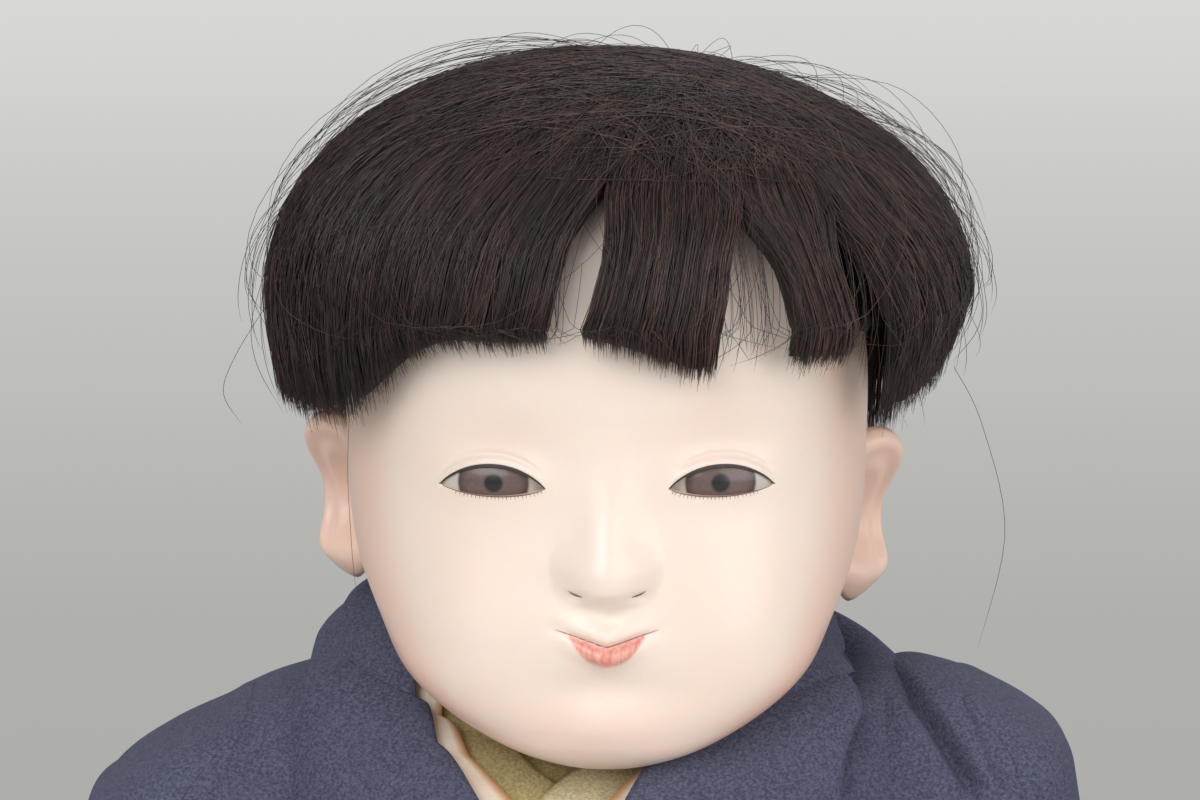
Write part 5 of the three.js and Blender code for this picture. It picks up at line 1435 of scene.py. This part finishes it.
class DOLL_OT_kimono(Operator):
    """Hangs the panels of the kimono and the under-kimono from the shoulders"""
    bl_idname = "doll.kimono"
    bl_label = "Kimono"

    def execute(self, context):
        lift = OUTER_PANEL - INNER_PANEL
        panels = (
            ("kimono_right", "right", -180 + BACK_SEAM, -OVERLAP_SEAM, 0.0, 150),
            ("overlap_right", "right", -OVERLAP_SEAM + SEAM, OVERLAP_SEAM, 0.0, 70),
            ("kimono_left", "left", 180 - BACK_SEAM, OVERLAP_SEAM, lift, 150),
            ("overlap_left", "left", OVERLAP_SEAM - SEAM, -2 * OVERLAP_SEAM, lift, 100),
        )
        for node, side, first, last, raised, columns in panels:
            outer, inner = panel_grid(side, first, last, raised, columns)
            cloth_piece(f"{node}_crepe", outer, inner, navy_crepe(), "torso", "navy_crepe",
                        [node])
        u, v = np.meshgrid(edged(220, 0.004), edged(160, 0.004))
        angle = lerp(-180 + BACK_SEAM, 180 - BACK_SEAM, u)
        top = lerp(1.3, 1.0, smooth(np.cos(np.radians(angle)), -0.2, 0.9))
        level = lerp(top, level_at(HEM_LIFT + UNDER_HEM_LIFT), v)
        outer, inner = drape(angle, level, THIN_CLOTH), drape(angle, level, 0.0)
        cloth_piece("under_kimono_crepe", outer, inner, green_crepe(), "torso", "green_crepe",
                    ["under_kimono"])
        return {"FINISHED"}


# Sleeves: drop below the top, reach out from the armhole, half depth and middle in y
ARMHOLE = 57.45
SLEEVE_TOP, SLEEVE_DROP = 347.0, 152.0
SLEEVE = {
    "right": np.array([
        (4.6, 2.5, 6, 4), (6.6, 5.5, 13, 4), (8.7, 8.5, 17, 4), (13.6, 18.6, 23, 4), (20, 27, 27, 5),
        (30, 31.5, 30, 6), (80, 33, 36, 9), (130, 33, 37, 10), (146, 30, 33, 10), (152, 20, 25, 10),
        (152, 3, 2, 10),
    ], float),
    "left": np.array([
        (2.0, 2.5, 6, 4), (3.4, 5.5, 13, 4), (5.0, 8.5, 17, 4), (9.4, 16.2, 22.5, 4), (14, 20.6, 26, 4),
        (25, 23, 29, 6), (80, 31.5, 36, 9), (130, 32.5, 37, 10), (146, 29.5, 33, 10), (152, 20, 25, 10),
        (152, 3, 2, 10),
    ], float),
}
# Shoulders: place across, top, half depth and middle in y
SHOULDER = {
    "right": np.array([
        (40, 348.6, 27, 5), (46, 347.0, 29, 5), (51, 345.6, 30, 4.5), (56, 344.0, 30.5, 4.3),
        (61, 341.7, 30.5, 4.3), (67.5, 338.0, 30, 4.3),
    ], float),
    "left": np.array([
        (40, 344.6, 27, 5), (44, 345.0, 28.5, 5), (51, 347.0, 30, 4.5), (57, 346.0, 30.5, 4.3),
        (62, 344.2, 30.5, 4.3), (68, 341.2, 30, 4.3),
    ], float),
}
# A crease down the right sleeve: place across at a height, slope and step of the cloth
CREASE = {"across": 67.4, "height": 338.5, "slope": 1.27, "step": 1.2}
# A tuck over the left shoulder: depth, place across at its back and front, spread
TUCK = {"depth": 4.2, "back": 44.0, "front": 60.0, "spread": 1.9}
# Cloth of the shoulder: height of its lower edge at the collar and at the sleeve, arch, roundness in y and z
YOKE_BASE, YOKE_ARCH, YOKE_ROUND = (312.0, 314.0), (-6, 186), (2 / 2.5, 2 / 2.3)
# How full the sleeve's section is
SLEEVE_FULLNESS = 2.4
CUFF = {"top": 74.0, "bottom": 140.0, "depth": 13.0}


def sleeve_grids(side, sign):
    """Outer and inner grids of a sleeve bag that is open along the front at the wrist."""
    columns, rows = 130, 150
    table = SLEEVE[side]
    drop, reach, half_depth, middle = np.moveaxis(along(table, np.linspace(0, len(table) - 1, rows)), -1, 0)
    mouth = smooth(drop, CUFF["top"] - 5, CUFF["top"] + 5)
    mouth = mouth * smooth(-drop, -CUFF["bottom"] - 4, -CUFF["bottom"] + 6)
    kept = np.clip(1 - CUFF["depth"] / half_depth, 0, 1)
    cut = np.degrees(np.arccos(kept ** (SLEEVE_FULLNESS / 2)))
    opening = np.radians(cut * mouth)[:, None]
    u = edged(columns, 0.004)[None, :]
    turn = -np.pi / 2 + lerp(opening, 2 * np.pi - opening, u)
    grids = []
    for inset in (0.0, CLOTH):
        fold = 0.05 * smooth(drop, 40, SLEEVE_DROP)[:, None] * np.cos(5 * turn + 0.4)
        fine = 0.018 * smooth(drop, 25, 90)[:, None] * np.cos(11 * turn + drop[:, None] * 0.05)
        half = np.maximum(reach / 2 - inset, 0.2)[:, None]
        x = ARMHOLE + inset + half * (1 - power(np.cos(turn), 2 / SLEEVE_FULLNESS))
        deep = half_depth[:, None] * (1 + fold + fine) - inset
        y = middle[:, None] + deep * power(np.sin(turn), 2 / SLEEVE_FULLNESS)
        z = SLEEVE_TOP - np.clip(drop, table[0, 0] + inset, SLEEVE_DROP - inset)[:, None] + 0 * x
        if side == "right":
            crease = CREASE["across"] + CREASE["slope"] * (CREASE["height"] - z)
            y = y - CREASE["step"] * smooth(crease - x, -0.5, 0.5) * smooth(-y, 2, 12) * smooth(z, 312, 326)
        grids.append(np.stack([sign * x, y, z], -1))
    return grids


def yoke_grids(side, sign):
    """Cloth over the shoulder, from under the collar to the top of the sleeve."""
    columns, rows = 90, 110
    stations = SHOULDER[side]
    u, v = np.meshgrid(edged(columns, 0.012), edged(rows, 0.006))
    x, top, half_depth, middle = np.moveaxis(along(stations, u * (len(stations) - 1)), -1, 0)
    arch = np.radians(lerp(*YOKE_ARCH, v))
    base = lerp(*YOKE_BASE, u)
    grids = []
    tuck = 0.0
    if side == "left":
        line = lerp(TUCK["back"], TUCK["front"], np.clip((0.52 - v) / 0.32, 0, 1))
        tuck = TUCK["depth"] * bell(x - line, TUCK["spread"])
        tuck = tuck * smooth(v, 0.14, 0.24) * smooth(-v, -0.62, -0.5)
    thickness = lerp(1.0, 0.3, smooth(u, 0.8, 1.0))
    for inset in (0.0, thickness):
        y = middle - (half_depth - inset - tuck) * power(np.cos(arch), YOKE_ROUND[0])
        z = base + (top - base - inset - tuck) * power(np.sin(arch), YOKE_ROUND[1])
        grids.append(np.stack([sign * x, y, z], -1))
    return grids


class DOLL_OT_sleeves(Operator):
    """Hangs a bag sleeve on each arm and joins it to the shoulder"""
    bl_idname = "doll.sleeves"
    bl_label = "Sleeves"

    def execute(self, context):
        for side, sign in SIDES:
            outer, inner = sleeve_grids(side, sign)
            cloth_piece(f"sleeve_{side}_crepe", outer, inner, navy_crepe(), f"{side}_arm", "navy_crepe",
                        [f"sleeve_{side}"])
            outer, inner = yoke_grids(side, sign)
            points, faces = sheet_grid(outer, inner)
            yoke = make_piece(f"shoulder_{side}_crepe", points, faces, navy_crepe(), None, "navy_crepe")
            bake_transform(yoke)
        return {"FINISHED"}


class DOLL_OT_sash(Operator):
    """Winds the sash round the waist and ties its flat knot at the back"""
    bl_idname = "doll.sash"
    bl_label = "Sash"

    def execute(self, context):
        weave = sash_weave()
        u, v = np.meshgrid(np.linspace(0, 360, 241)[:-1], edged(40, 0.02))
        level = level_at(lerp(SASH_TOP, SASH_BOTTOM, v))
        crease = 0.35 * np.sin(v * 19 + 1.2 * np.sin(np.radians(u) * 3))
        edge = lerp(0.3, 1.0, np.minimum(smooth(v, 0, 0.03), smooth(-v, -1, -0.97)))
        half = SASH_THICKNESS / 2
        outer = drape(u, level, SASH_LAYER + half + half * edge + crease * edge)
        inner = drape(u, level, SASH_LAYER + half - half * edge)
        cloth_piece("sash_band_weave", outer, inner, weave, "torso", "sash_cloth",
                    ["sash_band"], wraps=True)
        for node in ("sash_end_lower", "sash_end_upper", "sash_knot"):
            piece = soft_copy(node, f"{node}_weave", weave, "torso", 0.9, 6, 1)
            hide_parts(node)
        return {"FINISHED"}


# Limbs and shoulder plate: rounds of smoothing, filling of the stuffed cloth and lean of the arm's binding
LIMB_ROUNDS, STUFFING = 8, 0.8
BINDING_LEAN, BINDING_INSET = math.radians(-34), 0.8


def soft_copy(node, name, material, body, voxel, rounds, levels=0):
    """A rounded copy of a node's solid: one skin, smoothed."""
    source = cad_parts[node]
    piece = bpy.data.objects.new(name, source.data.copy())
    bpy.context.scene.collection.objects.link(piece)
    remesh = piece.modifiers.new("skin", "REMESH")
    remesh.mode = "VOXEL"
    remesh.voxel_size = voxel * MM
    remesh.use_smooth_shade = True
    even = piece.modifiers.new("round", "SMOOTH")
    even.iterations = rounds
    even.factor = 0.5
    if levels:
        finer = piece.modifiers.new("finer", "SUBSURF")
        finer.levels = levels
        finer.render_levels = levels
    graph = bpy.context.evaluated_depsgraph_get()
    mesh = bpy.data.meshes.new_from_object(piece.evaluated_get(graph))
    bpy.data.objects.remove(piece)
    mesh.name = name
    mesh.shade_smooth()
    return add_piece(name, mesh, material, body)


def thread_coil(middle, radius, bend, turns=5, thread=0.42):
    """A wound thread band round a limb, leaning by an angle about X."""
    steps = turns * 40
    t = np.linspace(0, 1, steps)
    angle = 2 * np.pi * turns * t
    path = np.stack([radius * np.cos(angle), radius * np.sin(angle), (t - 0.5) * turns * thread * 1.9], -1)
    sides = 8
    ring = np.linspace(0, 2 * np.pi, sides, endpoint=False)
    out = np.stack([np.cos(angle), np.sin(angle), 0 * angle], -1)
    up = np.array([0.0, 0.0, 1.0])
    cosine, sine = np.cos(ring)[None, :, None], np.sin(ring)[None, :, None]
    points = path[:, None] + thread * (cosine * out[:, None] + sine * up)
    turn = np.array(Matrix.Rotation(bend, 3, "X"))
    points = points @ turn.T + np.asarray(middle)
    return points.reshape(-1, 3), grid_faces(steps, sides, wraps=True)


def lower_plate(plate):
    """Lowers the rim of the shoulder plate where the collar sags over it."""
    points = np.empty(3 * len(plate.data.vertices))
    plate.data.vertices.foreach_get("co", points)
    points = points.reshape(-1, 3) / MM
    angle = np.degrees(np.arctan2(points[:, 0], BODY[1, 3] - points[:, 1]))
    points[:, 2] -= side_sag(angle) * smooth(points[:, 2], PLATE_SHOULDER, BODY[1, 0])
    plate.data.vertices.foreach_set("co", (points * MM).ravel())
    plate.data.update()


class DOLL_OT_limbs(Operator):
    """Rounds the shoulder plate, hands, feet and cloth limbs, and winds their bindings"""
    bl_idname = "doll.limbs"
    bl_label = "Limbs"

    def execute(self, context):
        skin, muslin = skin_material(), muslin_weave()
        thread = thread_material()
        plate = soft_copy("shoulder_plate", "shoulder_plate_skin", skin, "torso", 1.0, 4)
        lower_plate(plate)
        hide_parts("shoulder_plate")
        limbs = (
            ("forearm", "skin", skin, "forearm", "shell_lacquer", 0.55),
            ("lower_leg", "skin", skin, "leg", "shell_lacquer", 0.7),
            ("upper_arm", "cloth", muslin, "arm", "muslin", 1.2),
            ("thigh", "cloth", muslin, "leg", "muslin", 1.4),
        )
        bindings = (("arm", "forearm", BINDING_LEAN), ("leg", "leg", 0.0))
        for side, _ in SIDES:
            for limb, finish, material, body, slot, voxel in limbs:
                node = f"{limb}_{side}"
                piece = soft_copy(node, f"{node}_{finish}", material, f"{side}_{body}", voxel,
                                  LIMB_ROUNDS)
                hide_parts(node)
            for limb, body, lean in bindings:
                node = f"{limb}_binding_{side}"
                low, high = (np.array(corner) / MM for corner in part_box(node))
                radius = (high[0] - low[0]) / 2 - BINDING_INSET
                points, faces = thread_coil((low + high) / 2, radius, lean)
                coil = make_piece(f"{node}_thread", points, faces, thread, f"{side}_{body}", "thread",
                                  closed=False)
                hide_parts(node)
        waist = soft_copy("waist_cloth", "waist_cloth_padding", muslin, "torso", 1.6, LIMB_ROUNDS)
        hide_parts("waist_cloth")
        give_material("hip_block", skin)
        return {"FINISHED"}


# Stage
# A point of the face, its pixel, the picture's size in pixels, and the width it shows at that point
FACE_POINT = np.array([0.0, -42.0, EYE_HEIGHT])
FACE_PIXEL = (607.0, 481.0)
IMAGE = (1200.0, 800.0)
VIEW_WIDTH = 192.0
SENSOR = 36.0
# Floor in metres: half its side, where its glowing grey starts, and the greys by distance behind the doll, a
# painted light gradient that is lighter farther back
FLOOR_HALF = 9.0
GLOW_START, GLOW_END = 0.7, 1.25
FLOOR_PAINTED_GRADIENT = ((1.3, 0.42), (1.7, 0.435), (2.35, 0.51), (4.2, 0.66), (5.0, 0.69))
FLOOR_TINT = (1.0, 1.0, 0.965)
# Lights: place and size in metres, then power
LIGHTS = {
    "key_light": ((-0.55, -1.3, 1.25), (1.1, 1.1), 12.6),
    "fill_light": ((1.0, -1.1, 0.75), (1.1, 1.1), 7.8),
    "top_light": ((0.1, 0.3, 1.6), (1.0, 0.8), 3.6),
}
SKY, SKY_STRENGTH = (0.95, 0.97, 1.0), 0.53


def backdrop_material(floor):
    """A matt floor that keeps the shadow and far behind the doll glows a pale grey with a painted light
    gradient, lighter farther back.
    """
    material, tree, shader = new_material("backdrop", 0.9)
    soft = noise(tree, placed(tree), 1.5, 2.0)
    coloured(tree, shader, mixed(tree, soft, rgba(floor, 0.97), rgba(floor, 1.02)))
    shrunk = placed(tree, (1.0, 1 / FLOOR_HALF, 1.0))
    far = add_node(tree, "ShaderNodeSeparateXYZ", {"Vector": shrunk}).outputs["Y"]
    # The glow grows lighter farther behind the doll: a painted light gradient.
    grey = ramped(tree, far, *((y / FLOOR_HALF, value) for y, value in FLOOR_PAINTED_GRADIENT))
    tinted = mixed(tree, 1.0, grey, rgba(FLOOR_TINT), "MULTIPLY")
    glow = add_node(tree, "ShaderNodeEmission", {"Color": tinted}).outputs[0]
    path = add_node(tree, "ShaderNodeLightPath").outputs
    seen = maths(tree, "MAXIMUM", path["Is Camera Ray"], path["Is Glossy Ray"])
    seen = maths(tree, "MAXIMUM", seen, path["Is Transmission Ray"])
    beyond = ramped(tree, far, (GLOW_START / FLOOR_HALF, 0.0), (GLOW_END / FLOOR_HALF, 1.0))
    share = maths(tree, "MULTIPLY", seen, beyond)
    both = add_node(tree, "ShaderNodeMixShader", {0: share, 1: shader.outputs[0], 2: glow}).outputs[0]
    tree.links.new(both, tree.nodes["Material Output"].inputs["Surface"])
    return material


def backdrop_points():
    """A wide floor, in millimetres."""
    side = np.linspace(-1, 1, 9)
    x, y = np.meshgrid(side, side)
    points = np.stack([x, y, 0 * x], -1) * FLOOR_HALF / MM
    return points.reshape(-1, 3), grid_faces(len(side), len(side))


def area_light(name, place, target, size, energy):
    """A soft light that looks at a target."""
    light = bpy.data.lights.new(name, "AREA")
    light.shape = "RECTANGLE"
    light.size, light.size_y = size
    light.energy = energy
    lamp = bpy.data.objects.new(name, light)
    bpy.context.scene.collection.objects.link(lamp)
    lamp.location = place
    lamp.rotation_euler = (Vector(target) - Vector(place)).to_track_quat("-Z", "Y").to_euler()


def set_sky(scene):
    """Even light from all round."""
    if scene.world is None:
        scene.world = bpy.data.worlds.new("studio")
    scene.world.use_nodes = True
    background = scene.world.node_tree.nodes.get("Background")
    background.inputs["Color"].default_value = rgba(SKY)
    background.inputs["Strength"].default_value = SKY_STRENGTH


def set_camera(scene):
    """A long lens that puts the point of the face on its pixel."""
    settings = scene.doll_stage
    pitch = settings.pitch
    forward = np.array([0.0, math.cos(pitch), -math.sin(pitch)])
    up = np.array([0.0, math.sin(pitch), math.cos(pitch)])
    pixel = VIEW_WIDTH / IMAGE[0]
    target = FACE_POINT - np.array([1.0, 0, 0]) * (FACE_PIXEL[0] - IMAGE[0] / 2) * pixel
    target = target + up * (FACE_PIXEL[1] - IMAGE[1] / 2) * pixel
    distance = settings.lens / SENSOR * VIEW_WIDTH
    camera = bpy.data.objects.new("camera", bpy.data.cameras.new("camera"))
    scene.collection.objects.link(camera)
    camera.data.lens = settings.lens
    camera.data.sensor_width = SENSOR
    camera.data.sensor_fit = "HORIZONTAL"
    camera.data.clip_start = 0.05
    camera.location = (target - forward * distance) * MM
    camera.rotation_euler = (math.pi / 2 - pitch, 0.0, 0.0)
    scene.camera = camera


class DOLL_OT_stage(Operator):
    """Sets the floor, the soft lights and the camera"""
    bl_idname = "doll.stage"
    bl_label = "Stage"

    def execute(self, context):
        scene = context.scene
        mesh = make_mesh("backdrop", *backdrop_points())
        mesh.materials.append(backdrop_material(scene.doll_stage.floor))
        backdrop = bpy.data.objects.new("backdrop", mesh)
        scene.collection.objects.link(backdrop)
        for name, (place, size, energy) in LIGHTS.items():
            area_light(name, place, (0.0, 0.0, EYE_HEIGHT * MM), size, energy)
        set_sky(scene)
        set_camera(scene)
        scene.view_settings.view_transform = "Standard"
        return {"FINISHED"}


BUILD_ORDER = (DOLL_OT_stage, DOLL_OT_head, DOLL_OT_eyes, DOLL_OT_hair, DOLL_OT_kimono, DOLL_OT_collars,
               DOLL_OT_sleeves, DOLL_OT_sash, DOLL_OT_limbs)


class DOLL_PT_panel(Panel):
    """Lists the steps that dress the doll"""
    bl_idname = "DOLL_PT_panel"
    bl_label = "Ichimatsu doll"
    bl_space_type = "VIEW_3D"
    bl_region_type = "UI"
    bl_category = "Doll"

    def draw(self, context):
        for step in BUILD_ORDER:
            self.layout.operator(step.bl_idname)


SETTINGS = {"doll_skin": SkinSettings, "doll_hair": HairSettings, "doll_cloth": ClothSettings,
            "doll_stage": StageSettings}
CLASSES = tuple(SETTINGS.values()) + BUILD_ORDER + (DOLL_PT_panel,)


def register():
    for cls in CLASSES:
        bpy.utils.register_class(cls)
    for name, cls in SETTINGS.items():
        setattr(bpy.types.Scene, name, PointerProperty(type=cls))


def unregister():
    for name in SETTINGS:
        delattr(bpy.types.Scene, name)
    for cls in reversed(CLASSES):
        bpy.utils.unregister_class(cls)


def main():
    register()
    for step in BUILD_ORDER:
        group, name = step.bl_idname.split(".")
        getattr(getattr(bpy.ops, group), name)()


if __name__ == "__main__":
    main()
